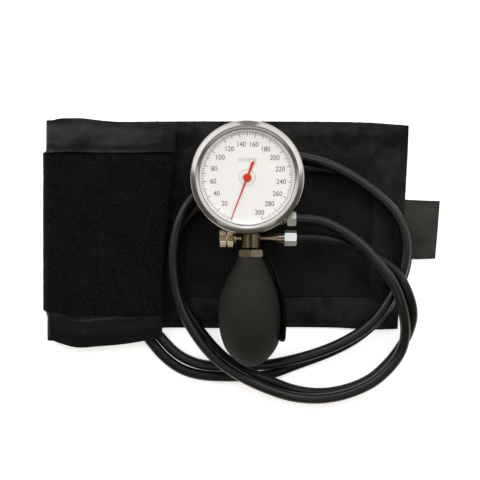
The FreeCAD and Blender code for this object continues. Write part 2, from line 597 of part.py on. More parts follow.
end_s = bulb_end.num
edges = [spline(bulb_out), straight(bulb_out[-1], (3.9, end_s)), straight((3.9, end_s), (3.2, end_s)), straight((3.2, end_s), (3.2, 71.5)),
         straight((3.2, 71.5), (4.5, 71.5)), straight((4.5, 71.5), bulb_in[0]), spline(bulb_in), straight(bulb_in[-1], (4.45, 17.4)),
         straight((4.45, 17.4), (4.45, bulb_start.num)), straight((4.45, bulb_start.num), bulb_out[0])]
profile = Part.Face(Part.Wire(edges))
bulb = profile.revolve(V(0, 0, 0), V(0, 0, 1), 360)
node(put(shaped("bulb_solid", bulb), head_x, 0.0, head_z, **DOWN_Y), "bulb")
node(turned("inlet_valve_body", [
    (1.0, 78.5), (3.15, 78.5), (3.15, 71.45), (4.4, 71.45), (4.4, 70.4), (2.0, 70.4), (2.0, 76.6), (1.0, 76.6)],
    x=head_x, z=head_z, **DOWN_Y), "inlet_valve_body")
ball = doc.addObject("Part::Sphere", "inlet_ball_sphere")
ball.Radius = 1.6
node(put(ball, head_x, -75.32, head_z), "inlet_valve_ball")
node(turned("inlet_valve_retainer", [(0.8, 71.2), (2.0, 71.2), (2.0, 72.1), (0.8, 72.1)], x=head_x, z=head_z, **DOWN_Y), "inlet_valve_retainer")

# ---------------------------------------------------------------- hose connectors
node(turned("lower_spigot", [
    (0.8, 8.6), (2.55, 8.6), (2.55, 11.8), (1.5, 12.0), (3.3, 21.6), (3.3, 22.0), (3.6, 22.2), (3.6, 26.1), (3.4, 26.3), (2.2, 26.3),
    (2.2, 34.0), (0.8, 34.0)], y=cross_y, z=head_z, **ALONG_X), "lower_spigot")
low_nut = chamfered_hex("lower_hose_nut", hose_nut_flats.num, 7.9, 2.2, 22.0)
node(put(low_nut, 26.4, cross_y, head_z, **ALONG_X), "lower_hose_nut")
node(turned("upper_spigot", [
    (0.8, 21.5), (2.5, 21.5), (2.5, 26.2), (3.2, 26.2), (3.2, 27.5), (2.3, 27.5), (2.3, 28.2), (2.2, 28.2), (2.2, 33.8), (0.8, 33.8)],
    y=port_y, z=head_z, **ALONG_X), "upper_spigot")
up_nut = chamfered_hex("upper_hose_nut", 8.8, 5.8, 2.2, 0.0)
node(put(up_nut, 28.2, port_y, head_z, **ALONG_X), "upper_hose_nut")

# ---------------------------------------------------------------- hoses
# Two rubber hoses that lie as a pair: once round the cuff and bulb, under the gauge, round again to the bladder's ports.
route_gauge = [
    (34.0, 13.8, 28.5), (45.0, 13.8, 28.5), (56.8, 10.4, 28.6), (73.7, -0.4, 30.1), (86.5, -14.4, 30.2),
    (96.8, -28.0, 28.9), (102.3, -42.9, 25.5), (105.4, -57.7, 18.6), (103.7, -71.7, 12.9), (95.3, -84.0, 10.3),
    (82.0, -94.9, 10.3), (58.4, -103.0, 10.2), (34.2, -102.6, 11.0), (13.6, -94.9, 17.7), (-4.8, -85.8, 18.0),
    (-20.2, -74.2, 18.2), (-33.6, -56.1, 17.8), (-42.3, -37.7, 17.5), (-45.4, -15.8, 17.7), (-44.0, 2.0, 17.7),
    (-39.4, 17.8, 17.3), (-31.9, 28.9, 14.0), (-22.1, 37.6, 10.7), (-9.8, 45.8, 10.7), (5.4, 52.7, 10.7),
    (22.0, 56.1, 10.6), (37.1, 54.7, 12.2), (53.8, 50.2, 18.2), (70.7, 42.0, 17.7), (86.4, 30.7, 17.8), (99.2, 18.1, 17.0),
    (105.3, 3.8, 16.8), (105.5, -11.2, 16.7), (101.5, -26.0, 16.7), (93.5, -40.7, 16.7), (83.4, -53.8, 17.1),
    (69.3, -63.8, 15.3), (52.0, -72.1, 10.3), (32.8, -77.7, 9.8), (15.0, -81.4, 6.8), (0.4, -82.1, 3.4),
    (-14.2, -82.5, 3.4), (-27.4, -81.6, 3.4), (-38.8, -77.2, 3.4), (-47.6, -70.6, 3.4), (-54.6, -62.2, 3.4)]
route_bulb = [
    (34.3, 1.72, 28.5), (45.0, 1.72, 28.5), (57.4, 0.3, 26.3), (71.5, -3.2, 22.4), (84.5, -9.5, 22.2), (98.0, -19.2, 23.4),
    (105.3, -31.5, 24.3), (110.3, -46.5, 18.5), (108.5, -59.1, 11.0), (103.4, -70.2, 5.8), (95.2, -81.4, 3.5),
    (81.4, -93.4, 3.4), (57.5, -100.6, 3.4), (35.6, -99.1, 3.5), (15.8, -90.4, 11.4), (-2.3, -83.1, 11.7),
    (-17.2, -71.4, 11.8), (-31.0, -54.3, 10.9), (-41.4, -37.3, 10.7), (-45.8, -14.9, 10.6), (-44.6, 0.6, 10.6),
    (-36.9, 14.6, 10.6), (-26.7, 23.7, 10.6), (-17.3, 31.3, 10.6), (-5.9, 38.7, 10.7), (8.4, 45.7, 10.7),
    (23.1, 49.1, 10.7), (37.9, 47.0, 10.7), (54.0, 47.2, 10.6), (70.6, 42.7, 10.6), (87.4, 30.6, 10.6),
    (100.4, 17.9, 10.0), (107.4, 3.8, 9.7), (107.8, -11.2, 9.6), (103.7, -27.0, 9.6), (95.4, -42.1, 9.5),
    (85.4, -54.8, 10.1), (71.7, -65.8, 8.0), (54.3, -74.7, 3.5), (35.9, -81.2, 3.4), (16.9, -88.6, 3.4), (2.5, -89.2, 3.4),
    (-13.0, -89.3, 3.4), (-27.6, -88.5, 3.4), (-40.1, -84.8, 3.4), (-49.9, -77.9, 3.4), (-57.3, -70.0, 3.4),
    (-62.8, -62.7, 3.4)]
for name, route in (("hose_gauge", route_gauge), ("hose_bulb", route_bulb)):
    wire, radii, total = rounded_path(route)
    solid = pipe(wire, hose_dia.num / 2)
    want = math.pi * (hose_dia.num / 2) ** 2 * total
    print("%s: %d points, length %.1f mm, smallest radius %.1f mm, volume %.0f of %.0f" % (name, len(route), total, min(radii), solid.Volume, want))
    print("  radii " + " ".join("%.0f" % r for r in radii))
    node(shaped(name + "_solid", solid), name)

# ---------------------------------------------------------------- cuff
panel = [(fold_x, -64.9), (-75.0, -60.0), (-52.0, -57.4), (20.0, -57.0), (102.2, -58.2), (106.3, 10.0), (109.6, 75.9), (60.0, 78.3), (-30.0, 78.6), (fold_x, 78.4)]
node(plate("cuff_lining", panel, lining_thick), "cuff_lining")
port_a = (V(*route_gauge[-1]), V(*route_gauge[-1]) - V(*route_gauge[-2]), 2.2)
port_b = (V(*route_bulb[-1]), V(*route_bulb[-1]) - V(*route_bulb[-2]), 1.9)
ports = []
for at, way, collar in (port_a, port_b):
    way.normalize()
    ports.append(Part.makeCylinder(3.2, collar, at, way).fuse(Part.makeCylinder(2.2, 20.0, at, way)))
pocket = box("bladder_pocket", -bladder_len / 2 - 9.3, -52.3, lining_thick, bladder_len + 0.6, bladder_wide + 0.6, 4.0)
port_ways = [shaped("port_way_%d" % i, Part.makeCylinder(2.25, 22.0, at, way)) for i, (at, way, collar) in enumerate((port_a, port_b))]
node(cut("cuff_cover_cut", plate("cover_blank", panel, cuff_thick - lining_thick, z=lining_thick), pocket, *port_ways), "cuff_cover")
node(box("bladder_bag", -bladder_len / 2 - 9.0, -52.0, lining_thick + 0.1, bladder_len, bladder_wide, 3.7), "bladder")
stubs = [p.cut(Part.makeBox(400, 200, 20, V(-200, -52.0, -5))) for p in ports]
node(group("bladder_ports_group", *[shaped("bladder_port_%d" % i, s) for i, s in enumerate(stubs)]), "bladder_ports")
node(plate("hook_patch", [(-36.8, -36.6), (83.4, -36.6), (87.0, 57.4), (-38.0, 57.4)], patch_thick, z=cuff_thick), "hook_patch")
node(plate("pull_tab", [(107.23, 27.2), (106.35, 10.0), (105.1, -11.9), (127.2, -11.9), (130.15, 26.2)], 1.2, z=0.0), "pull_tab")

flap = [(fold_x, -65.3), (-117.5, -67.3), (-107.1, -69.7), (-92.8, -68.8), (-77.1, -67.4), (-61.5, -64.9), (-57.0, -64.2), (-52.3, -62.4),
        (-50.3, -10.0), (-42.3, 73.0), (-44.0, 76.6), (-77.0, 77.3), (-87.0, 77.9), (-95.0, 78.6), (-103.0, 79.8), (-118.7, 79.8), (fold_x, 78.6)]
node(plate("cuff_flap", flap, flap_top - flap_low, z=flap_low), "cuff_flap")
node(plate("loop_patch", [(fold_x, -46.0), (-108.0, -48.5), (-75.0, -48.9), (-57.0, -48.4), (-52.3, -47.0), (-50.8, -10.0), (-44.3, 57.4), (fold_x, 57.4)], patch_thick, z=flap_top), "loop_patch")
# the fold that joins panel and flap: half a thick tube about the fold line
half_out, half_in = 6.9, 0.9
arc = [V(fold_x.num, 0, fold_z.num + half_out), V(fold_x.num - half_out, 0, fold_z.num), V(fold_x.num, 0, fold_z.num - half_out)]
arc_i = [V(fold_x.num, 0, fold_z.num - half_in), V(fold_x.num - half_in, 0, fold_z.num), V(fold_x.num, 0, fold_z.num + half_in)]
fold_face = Part.Face(Part.Wire([Part.Arc(*arc).toShape(), Part.LineSegment(arc[2], arc_i[0]).toShape(), Part.Arc(*arc_i).toShape(),
                                 Part.LineSegment(arc_i[2], arc[0]).toShape()]))
fold = fold_face.extrude(V(0, 143.9, 0))
fold.translate(V(-0.05, -65.3, 0))
node(shaped("cuff_fold_solid", fold), "cuff_fold")

# ---------------------------------------------------------------- check and write
doc.recompute()
for obj in doc.Objects:
    if "Invalid" in obj.State or "Error" in obj.State:
        failures.append("%s (%s) is %s" % (obj.Name, obj.Label, obj.State))
for name, obj in nodes.items():
    shape = obj.Shape
    if shape.isNull() or not shape.isValid() or not shape.Solids:
        failures.append("%s has no valid solid" % name)
if failures:
    raise RuntimeError("; ".join(failures))
os.makedirs("parts", exist_ok=True)
for name, obj in nodes.items():
    obj.Shape.exportStep(os.path.join("parts", name + ".step"))
print("%d nodes written" % len(nodes))
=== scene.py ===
import bpy
import json
import math
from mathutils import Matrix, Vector, noise


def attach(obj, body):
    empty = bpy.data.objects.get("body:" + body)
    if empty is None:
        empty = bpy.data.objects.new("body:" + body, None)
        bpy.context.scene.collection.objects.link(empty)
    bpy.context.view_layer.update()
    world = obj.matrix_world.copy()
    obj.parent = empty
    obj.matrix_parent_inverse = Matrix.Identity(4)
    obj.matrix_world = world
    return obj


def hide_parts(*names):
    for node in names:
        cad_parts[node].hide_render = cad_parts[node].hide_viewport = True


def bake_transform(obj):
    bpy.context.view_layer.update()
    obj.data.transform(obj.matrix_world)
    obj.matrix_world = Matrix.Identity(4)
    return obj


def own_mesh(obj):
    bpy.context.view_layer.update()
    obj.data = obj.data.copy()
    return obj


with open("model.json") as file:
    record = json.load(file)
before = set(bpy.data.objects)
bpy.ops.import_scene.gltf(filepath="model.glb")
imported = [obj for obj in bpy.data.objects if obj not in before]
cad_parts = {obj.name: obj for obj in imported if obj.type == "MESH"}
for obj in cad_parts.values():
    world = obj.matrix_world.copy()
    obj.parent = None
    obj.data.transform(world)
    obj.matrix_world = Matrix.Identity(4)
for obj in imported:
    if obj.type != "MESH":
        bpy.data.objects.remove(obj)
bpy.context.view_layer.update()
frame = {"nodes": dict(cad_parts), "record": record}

MM = 0.001
GX, GY = 2.9, 39.6        # gauge axis
HX, HZ = 5.2, 28.5        # head axis, which runs along Y
CY, PY = 1.72, 13.8       # cross axis of the valve, axis of the upper port
FX, FZ = -123.2, 7.4      # fold line
RX = FX + 0.12            # the roots of panel and flap, just clear of each other when the flap is open


# ------------------------------------------------------------------ materials
def srgb(r, g, b):
    def lin(v):
        v /= 255.0
        return v / 12.92 if v <= 0.04045 else ((v + 0.055) / 1.055) ** 2.4
    return (lin(r), lin(g), lin(b), 1.0)


class Mat:
    """A small helper around one node material."""

    def __init__(self, name, color, rough=0.5, metal=0.0, spec=0.5, sheen=0.0, coat=0.0):
        self.m = bpy.data.materials.new(name)
        self.m.use_nodes = True
        self.t = self.m.node_tree
        self.b = self.t.nodes["Principled BSDF"]
        self.b.inputs["Base Color"].default_value = color
        self.b.inputs["Roughness"].default_value = rough
        self.b.inputs["Metallic"].default_value = metal
        self.b.inputs["Specular IOR Level"].default_value = spec
        if sheen:
            self.b.inputs["Sheen Weight"].default_value = sheen
            self.b.inputs["Sheen Roughness"].default_value = 0.5
        if coat:
            self.b.inputs["Coat Weight"].default_value = coat
            self.b.inputs["Coat Roughness"].default_value = 0.08
        self.color = color
        self.co = self.node("ShaderNodeTexCoord").outputs["Object"]
        self.height = None

    def node(self, kind, **sets):
        n = self.t.nodes.new(kind)
        for k, v in sets.items():
            setattr(n, k, v)
        return n

    def link(self, a, b):
        self.t.links.new(a, b)

    def mapped(self, scale=(1, 1, 1), turn=(0, 0, 0)):
        n = self.node("ShaderNodeMapping")
        n.inputs["Scale"].default_value = scale
        n.inputs["Rotation"].default_value = turn
        self.link(self.co, n.inputs["Vector"])
        return n.outputs["Vector"]

    def noise(self, scale, detail=3.0, rough=0.6, vec=None):
        n = self.node("ShaderNodeTexNoise")
        n.inputs["Scale"].default_value = scale
        n.inputs["Detail"].default_value = detail
        n.inputs["Roughness"].default_value = rough
        self.link(vec or self.co, n.inputs["Vector"])
        return n.outputs["Fac"]

    def wave(self, scale, direction="X", distort=0.0, vec=None, profile="SIN", phase=0.0):
        n = self.node("ShaderNodeTexWave", bands_direction=direction, wave_profile=profile)
        n.inputs["Scale"].default_value = scale
        n.inputs["Distortion"].default_value = distort
        n.inputs["Detail"].default_value = 1.0
        n.inputs["Phase Offset"].default_value = phase
        self.link(vec or self.co, n.inputs["Vector"])
        return n.outputs["Fac"]

    def blot(self, at, size):
        """1 at a place of the object, falling to 0 at size (in metres) from it."""
        n = self.node("ShaderNodeMapping")
        n.inputs["Location"].default_value = tuple(-a / b for a, b in zip(at, size))
        n.inputs["Scale"].default_value = tuple(1 / b for b in size)
        self.link(self.co, n.inputs["Vector"])
        g = self.node("ShaderNodeTexGradient", gradient_type="QUADRATIC_SPHERE")
        self.link(n.outputs["Vector"], g.inputs["Vector"])
        return g.outputs["Fac"]

    def band(self, axis, centre, half, wobble=0.0):
        """1 at a coordinate of the object (0 is X, 1 is Y), falling to 0 at half (metres) from it."""
        n = self.node("ShaderNodeSeparateXYZ")
        self.link(self.co, n.inputs["Vector"])
        at = n.outputs[axis]
        if wobble:
            at = self.math("ADD", at, self.span(self.noise(70, 3), 0.3, 0.7, -wobble, wobble))
        off = self.math("ABSOLUTE", self.math("SUBTRACT", at, centre))
        return self.span(off, 0.0, half, 1.0, 0.0)

    def slant(self, kx, ky, low, high):
        """Runs from 0 at low to 1 at high of kx * X + ky * Y of the object."""
        n = self.node("ShaderNodeSeparateXYZ")
        self.link(self.co, n.inputs["Vector"])
        at = self.math("ADD", self.math("MULTIPLY", n.outputs[0], kx), self.math("MULTIPLY", n.outputs[1], ky))
        return self.span(at, low, high, 0.0, 1.0)

    def beyond(self, axis, low, high):
        """Runs from 0 at low to 1 at high of a coordinate of the object."""
        n = self.node("ShaderNodeSeparateXYZ")
        self.link(self.co, n.inputs["Vector"])
        return self.span(n.outputs[axis], low, high, 0.0, 1.0)

    def sum(self, *terms):
        total = 0.0
        for fac, gain in terms:
            total = self.math("ADD", self.math("MULTIPLY", fac, gain), total)
        return total

    def math(self, op, a, b=0.0, clamp=False):
        n = self.node("ShaderNodeMath", operation=op, use_clamp=clamp)
        for i, v in enumerate((a, b)):
            if isinstance(v, (int, float)):
                n.inputs[i].default_value = v
            else:
                self.link(v, n.inputs[i])
        return n.outputs[0]

    def ramp(self, fac, stops):
        n = self.node("ShaderNodeValToRGB")
        e = n.color_ramp.elements
        while len(e) < len(stops):
            e.new(0.5)
        for el, (at, c) in zip(e, stops):
            el.position = at
            el.color = c if len(c) == 4 else (c[0], c[1], c[2], 1.0)
        self.link(fac, n.inputs["Fac"])
        return n.outputs["Color"]

    def span(self, fac, low, high, a, b):
        n = self.node("ShaderNodeMapRange")
        for k, v in zip((1, 2, 3, 4), (low, high, a, b)):
            n.inputs[k].default_value = v
        self.link(fac, n.inputs[0])
        return n.outputs[0]

    def tint(self, fac, dark=0.75, light=1.3):
        """Colour that runs from darker to lighter than the base colour with fac."""
        c = self.color
        self.link(self.ramp(fac, [(0.25, tuple(v * dark for v in c[:3])), (0.75, tuple(min(1, v * light) for v in c[:3]))]),
                  self.b.inputs["Base Color"])

    def rough(self, fac, low, high):
        self.link(self.span(fac, 0.25, 0.75, low, high), self.b.inputs["Roughness"])

    def bump(self, fac, depth, strength=1.0):
        n = self.node("ShaderNodeBump")
        n.inputs["Distance"].default_value = depth
        n.inputs["Strength"].default_value = strength
        self.link(fac, n.inputs["Height"])
        if self.height is not None:
            self.link(self.height, n.inputs["Normal"])
        self.height = n.outputs["Normal"]
        self.link(self.height, self.b.inputs["Normal"])


def metal(name, color, rough, wear=0.05, grain=900.0):
    m = Mat(name, color, rough, 1.0)
    n = m.noise(grain, 4)
    m.rough(n, max(0.02, rough - wear), rough + wear)
    m.tint(m.noise(60, 2), 0.93, 1.05)
    m.bump(m.noise(220, 2), 0.00001, 0.15)
    return m


def rubber(name, color, rough, spec=0.4):
    m = Mat(name, color, rough, 0.0, spec)
    m.tint(m.noise(140, 4), 0.82, 1.2)
    m.rough(m.noise(700, 3), rough - 0.06, rough + 0.08)
    m.bump(m.noise(2600, 3), 0.00004, 0.35)
    return m


def weave(m, pitch, depth, angle=0.0):
    """Over-and-under cloth of threads pitch mm apart."""
    k = 1.0 / (pitch * MM) / 20 * math.pi * 1.0
    v = m.mapped(turn=(0, 0, angle))
    a, b = m.wave(k, "X", vec=v), m.wave(k, "Y", vec=v)
    both = m.math("MULTIPLY", a, b)
    m.bump(both, depth * MM, 0.6)
    return both


nylon = Mat("nylon", srgb(30, 30, 29), 0.62, 0.0, 0.09, sheen=0.02)
w = weave(nylon, 0.55, 0.10, 0.6)
# Random tone from two noises, plus painted light: painted shade along the strip beside the flap and near its top
# corner, painted shade over the top strip and over the slope down to the bottom hem, and painted highlights on a fold
# at the right and on the puckers below the hook patch.
tone_and_painted_light = nylon.sum((nylon.span(nylon.noise(38, 3), 0.36, 0.64, 0.0, 1.0), 0.34), (nylon.span(nylon.noise(150, 3), 0.36, 0.64, 0.0, 1.0), 0.16),
                  (nylon.blot((-0.043, 0.010, 0.006), (0.030, 0.120, 0.08)), -0.46), (nylon.blot((-0.034, 0.066, 0.006), (0.016, 0.018, 0.03)), -0.30),
                  (nylon.band(1, 0.068, 0.012), -0.22), (nylon.band(1, -0.052, 0.010), -0.10), (nylon.blot((0.097, 0.040, 0.006), (0.010, 0.030, 0.03)), 0.04),
                  (nylon.blot((0.070, -0.0398, 0.006), (0.016, 0.0055, 0.03)), 0.60), (nylon.blot((0.088, -0.043, 0.006), (0.009, 0.006, 0.03)), 0.35))
nylon.tint(nylon.math("ADD", tone_and_painted_light, 0.30), 0.25, 1.7)
nylon.bump(nylon.noise(120, 3), 0.0006, 0.35)

# The flap's nylon is a lighter copy of the panel's nylon: painted light for the flap's top, which catches more light.
nylon_flap = Mat("nylon_flap", srgb(37, 37, 35), 0.55, 0.0, 0.14, sheen=0.02)
weave(nylon_flap, 0.6, 0.12, 0.75)
streaks = nylon_flap.noise(60, 3, 0.6, vec=nylon_flap.mapped(scale=(0.45, 1.6, 1.0), turn=(0, 0, 0.6)))
painted_crease_highlight = nylon_flap.math("MULTIPLY", nylon_flap.band(1, -0.0509, 0.0013, 0.0016), nylon_flap.math("MULTIPLY", nylon_flap.slant(1, 0, -0.118, -0.108), nylon_flap.slant(-1, 0, 0.060, 0.074)))
bottom_edge = nylon_flap.band(1, -0.0686, 0.0022)
# Random tone and streaks, plus painted light: painted shade at the top right corner, in a band just above the loop
# patch, over the lower part of the flap that faces away from the light, and along the rounded right edge; painted
# highlights on the crease line low down, on the fold at the lower left and at the top left corner. It is also darker
# along the top hem and a little lighter along the bottom edge.
tone_and_painted_light = nylon_flap.sum((nylon_flap.span(nylon_flap.noise(32, 4, 0.65), 0.36, 0.64, 0.0, 1.0), 0.34), (nylon_flap.span(streaks, 0.36, 0.64, 0.0, 1.0), 0.34),
                       (nylon_flap.blot((-0.0445, 0.066, 0.012), (0.012, 0.022, 0.02)), -1.10), (nylon_flap.band(1, 0.0600, 0.0036, 0.0012), -0.42),
                       (nylon_flap.band(1, 0.0785, 0.0036), -0.30), (nylon_flap.beyond(1, -0.046, -0.051), -0.44),
                       (nylon_flap.slant(1, -0.068, -0.0515, -0.0490), -0.50), (painted_crease_highlight, 0.55), (bottom_edge, 0.12),
                       (nylon_flap.blot((-0.103, -0.058, 0.012), (0.007, 0.014, 0.02)), 0.45), (nylon_flap.blot((-0.112, 0.068, 0.012), (0.012, 0.012, 0.02)), 0.18))
nylon_flap.tint(nylon_flap.math("ADD", tone_and_painted_light, 0.17), 0.20, 1.80)
nylon_flap.bump(nylon_flap.noise(110, 3), 0.0006, 0.4)

hook = Mat("hook_tape", srgb(24, 24, 23), 0.62, 0.0, 0.12)
# Painted shading of the hook ribs, lighter on the ribs and darker between them, and painted glints on the hooks;
# patches is random tone, and the tape is darker towards its left end.
painted_rib_shading = hook.wave(math.pi / (10 * 1.36 * MM), "X", phase=math.pi)
painted_glints = hook.span(hook.noise(1500, 2), 0.40, 0.62, 0.0, 1.0)
patches = hook.span(hook.noise(45, 3), 0.3, 0.7, -0.16, 0.16)
both = hook.sum((painted_rib_shading, 0.45), (painted_glints, 0.42), (patches, 1.0), (hook.beyond(0, 0.010, -0.036), -0.16))
hook.tint(both, 0.30, 1.75)
hook.bump(hook.noise(1500, 2), 0.0002, 0.5)

loop = Mat("loop_tape", srgb(14, 14, 14), 0.95, 0.0, 0.06, sheen=0.03)
# Random grain of the loops, plus painted shade along the top border, where the patch is sewn down.
grain = loop.sum((loop.span(loop.noise(1250, 2, 0.6), 0.35, 0.65, 0.0, 1.0), 0.55), (loop.span(loop.noise(560, 3, 0.7), 0.36, 0.64, 0.0, 1.0), 0.36),
                 (loop.span(loop.noise(60, 3, 0.6), 0.34, 0.66, 0.0, 1.0), 0.12), (loop.beyond(1, 0.0550, 0.0568), -0.60))
loop.tint(grain, 0.18, 2.35)
loop.bump(loop.noise(900, 4, 0.7), 0.0005, 0.9)
loop.bump(loop.noise(60, 3, 0.6), 0.0008, 0.5)

webbing = Mat("webbing", srgb(58, 57, 52), 0.8, 0.0, 0.12, sheen=0.05)
webbing.bump(webbing.wave(1.0 / (0.9 * MM) / 20 * math.pi, "Y"), 0.0002, 0.7)
webbing.tint(webbing.noise(90, 4, 0.6), 0.62, 1.35)

lining = Mat("lining", srgb(22, 22, 22), 0.6, 0.0, 0.25)
weave(lining, 0.5, 0.08)
lining.tint(lining.noise(40, 3), 0.8, 1.3)

thread = Mat("thread", srgb(30, 30, 29), 0.65, 0.0, 0.25)
thread.bump(thread.wave(3000, "Y", 2.0), 0.0001, 0.6)
thread.tint(thread.noise(500, 2), 0.8, 1.3)

hose_m = rubber("hose_rubber", srgb(17, 17, 14), 0.32, 0.40)
# A darker, duller copy of the hose rubber: painted shade for the bulb hose, which lies mostly under and beside the
# gauge hose.
hose_shaded = rubber("hose_rubber_shaded", srgb(13, 13, 11), 0.38, 0.24)
bulb_m = rubber("bulb_rubber", srgb(32, 32, 28), 0.64, 0.22)
seal = rubber("seal_rubber", srgb(20, 20, 20), 0.7, 0.3)
bladder_m = rubber("bladder_rubber", srgb(28, 27, 26), 0.6, 0.3)
plastic = Mat("port_plastic", srgb(18, 18, 18), 0.35, 0.0, 0.5)
plastic.bump(plastic.noise(1500, 2), 0.00003, 0.4)
plastic.rough(plastic.noise(600, 2), 0.3, 0.42)

chrome = metal("chrome", (0.37, 0.358, 0.343, 1), 0.13, 0.04)
case_m = metal("case_chrome", (0.50, 0.49, 0.47, 1), 0.16, 0.05)
nickel = metal("nickel", (0.28, 0.23, 0.17, 1), 0.20, 0.05)
# A lighter copy of the nickel for the hose nuts: painted light, standing in for the bright light that the nuts mirror.
bright = metal("nickel_painted_light", (0.76, 0.81, 0.785, 1), 0.42, 0.05)
knob_m = metal("knob_nickel", (0.54, 0.47, 0.335, 1), 0.26, 0.06)
steel = metal("steel", (0.48, 0.48, 0.49, 1), 0.30, 0.08)
# A darker copy of the nickel for the valve block: painted shade, standing in for the dark surroundings that the block
# mirrors.
nickel_shaded_copy = metal("nickel_painted_shade", (0.175, 0.136, 0.092, 1), 0.22, 0.05)
brass = metal("brass", (0.72, 0.52, 0.24, 1), 0.28, 0.08)
bronze = metal("bronze", (0.58, 0.34, 0.15, 1), 0.30, 0.08)

enamel = Mat("black_enamel", srgb(4, 4, 4), 0.22, 0.0, 0.06)
enamel.rough(enamel.noise(400, 3), 0.16, 0.26)
enamel.bump(enamel.noise(900, 2), 0.00002, 0.3)
enamel.tint(enamel.noise(80, 2), 0.8, 1.3)

dial_m = Mat("dial_white", srgb(251, 251, 249), 0.55, 0.0, 0.3)
dial_m.tint(dial_m.noise(50, 2), 0.99, 1.0)
dial_m.bump(dial_m.noise(2000, 2), 0.00001, 0.2)
dial_m.rough(dial_m.noise(300, 2), 0.5, 0.6)
ink = Mat("dial_ink", srgb(62, 62, 64), 0.6, 0.0, 0.3)
ink.tint(ink.noise(400, 2), 0.85, 1.2)
ink.bump(ink.noise(2500, 2), 0.00001, 0.2)
tick_ink = Mat("dial_tick_ink", srgb(22, 22, 24), 0.6, 0.0, 0.3)
tick_ink.tint(tick_ink.noise(400, 2), 0.85, 1.2)
tick_ink.bump(tick_ink.noise(2500, 2), 0.00001, 0.2)
grey_ink = Mat("dial_grey_ink", srgb(186, 186, 182), 0.6, 0.0, 0.3)
grey_ink.tint(grey_ink.noise(400, 2), 0.95, 1.04)
grey_ink.bump(grey_ink.noise(2500, 2), 0.00001, 0.2)
red = Mat("pointer_red", srgb(216, 58, 22), 0.5, 0.0, 0.3)
red.tint(red.noise(300, 2), 0.92, 1.06)
red.bump(red.noise(1500, 2), 0.00001, 0.2)

glass = Mat("crystal_glass", (1, 1, 1, 1), 0.02, 0.0, 0.5)
glass.b.inputs["Transmission Weight"].default_value = 1.0
glass.b.inputs["IOR"].default_value = 1.12
glass.b.inputs["Alpha"].default_value = 0.12
glass.rough(glass.noise(60, 2), 0.01, 0.03)
glass.m.surface_render_method = "BLENDED"

by_slot = {
    "bezel": chrome, "case": case_m, "crystal": glass, "dial": dial_m, "pointer": red, "movement": brass, "spring": bronze,
    "steel": steel, "head": nickel, "knob": knob_m, "handle": enamel, "bulb": bulb_m, "hose": hose_m, "seal": seal,
    "bladder": bladder_m, "port": plastic, "nylon": nylon, "lining": lining, "hook": hook, "loop": loop, "webbing": webbing}


def paint(obj, *mats):
    obj.data.materials.clear()
    for m in mats:
        obj.data.materials.append(m.m)


for part in frame["record"]["subparts"]:
    o = frame["nodes"][part["node"]]
    paint(o, by_slot[part["material_slot"]])
    o.data.shade_smooth()
    o.data.set_sharp_from_angle(angle=math.radians(32))
# The hose nuts take the lighter, painted-light copy of the nickel.
for n in ("lower_hose_nut", "upper_hose_nut"):
    paint(frame["nodes"][n], bright)
# The valve block takes the darker, painted-shade copy of the nickel.
paint(frame["nodes"]["valve_block"], nickel_shaded_copy)


# ------------------------------------------------------------------ mesh helpers
def make(name, verts, faces, mats, body=None, stands_for=(), slot=None, sharp=35.0, index=None, scale=MM):
    me = bpy.data.meshes.new(name)
    me.from_pydata([(x * scale, y * scale, z * scale) for x, y, z in verts], [], faces)
    me.validate()
    o = bpy.data.objects.new(name, me)
    bpy.context.scene.collection.objects.link(o)
    paint(o, *(mats if isinstance(mats, (list, tuple)) else [mats]))
    if index:
        for p, k in zip(me.polygons, index):
            p.material_index = k
    me.shade_smooth()
    me.set_sharp_from_angle(angle=math.radians(sharp))
    me.update()
    if stands_for:
        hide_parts(*stands_for)
    if body:
        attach(o, body)
    return o


def fillet(pts, radius, steps=5, closed=True):
    """Rounds the corners of an outline. radius is one number, or one for each point."""
    n, out = len(pts), []
    for i, p in enumerate(pts):
        r = radius[i] if isinstance(radius, (list, tuple)) else radius
        if r <= 0 or (not closed and i in (0, n - 1)):
            out.append(tuple(p))
            continue
        a, b, c = Vector(pts[i - 1]), Vector(p), Vector(pts[(i + 1) % n])
        u, v = a - b, c - b
        lu, lv = u.length, v.length
        u.normalize()
        v.normalize()
        ang = math.acos(max(-1, min(1, u.dot(v))))
        if ang > math.radians(172):
            out.append(tuple(p))
            continue
        reach = min(r / math.tan(ang / 2), 0.45 * lu, 0.45 * lv)
        p0, p2 = b + u * reach, b + v * reach
        for k in range(steps + 1):
            t = k / steps
            out.append(tuple(p0 * (1 - t) ** 2 + b * 2 * t * (1 - t) + p2 * t * t))
    return out


def axis_point(axis, centre, r, h, a):
    c, s = r * math.cos(a), r * math.sin(a)
    if axis == "Z":
        return (centre[0] + c, centre[1] + s, h)
    if axis == "-Y":
        return (centre[0] + c, -h, centre[1] + s)
    return (h, centre[0] + c, centre[1] + s)          # along X: centre is (y, z)


def lathe(name, pts, centre, axis, mats, closed=True, segs=160, ripple=None, **kw):
    """Turns a profile of (radius, height) about an axis. ripple(radius, height, angle) may change the radius."""
    verts, faces, ring = [], [], len(pts)
    for k in range(segs):
        a = 2 * math.pi * k / segs
        for r, h in pts:
            rr = ripple(r, h, a) if ripple else r
            verts.append(axis_point(axis, centre, rr, h, a))
    for k in range(segs):
        k2 = (k + 1) % segs
        for i in range(ring if closed else ring - 1):
            j = (i + 1) % ring
            f = [k * ring + i, k2 * ring + i, k2 * ring + j, k * ring + j]
            if pts[i][0] < 1e-6 and pts[j][0] < 1e-6:
                continue
            faces.append(f)
    o = make(name, verts, faces, mats, **kw)
    tidy(o)
    return o


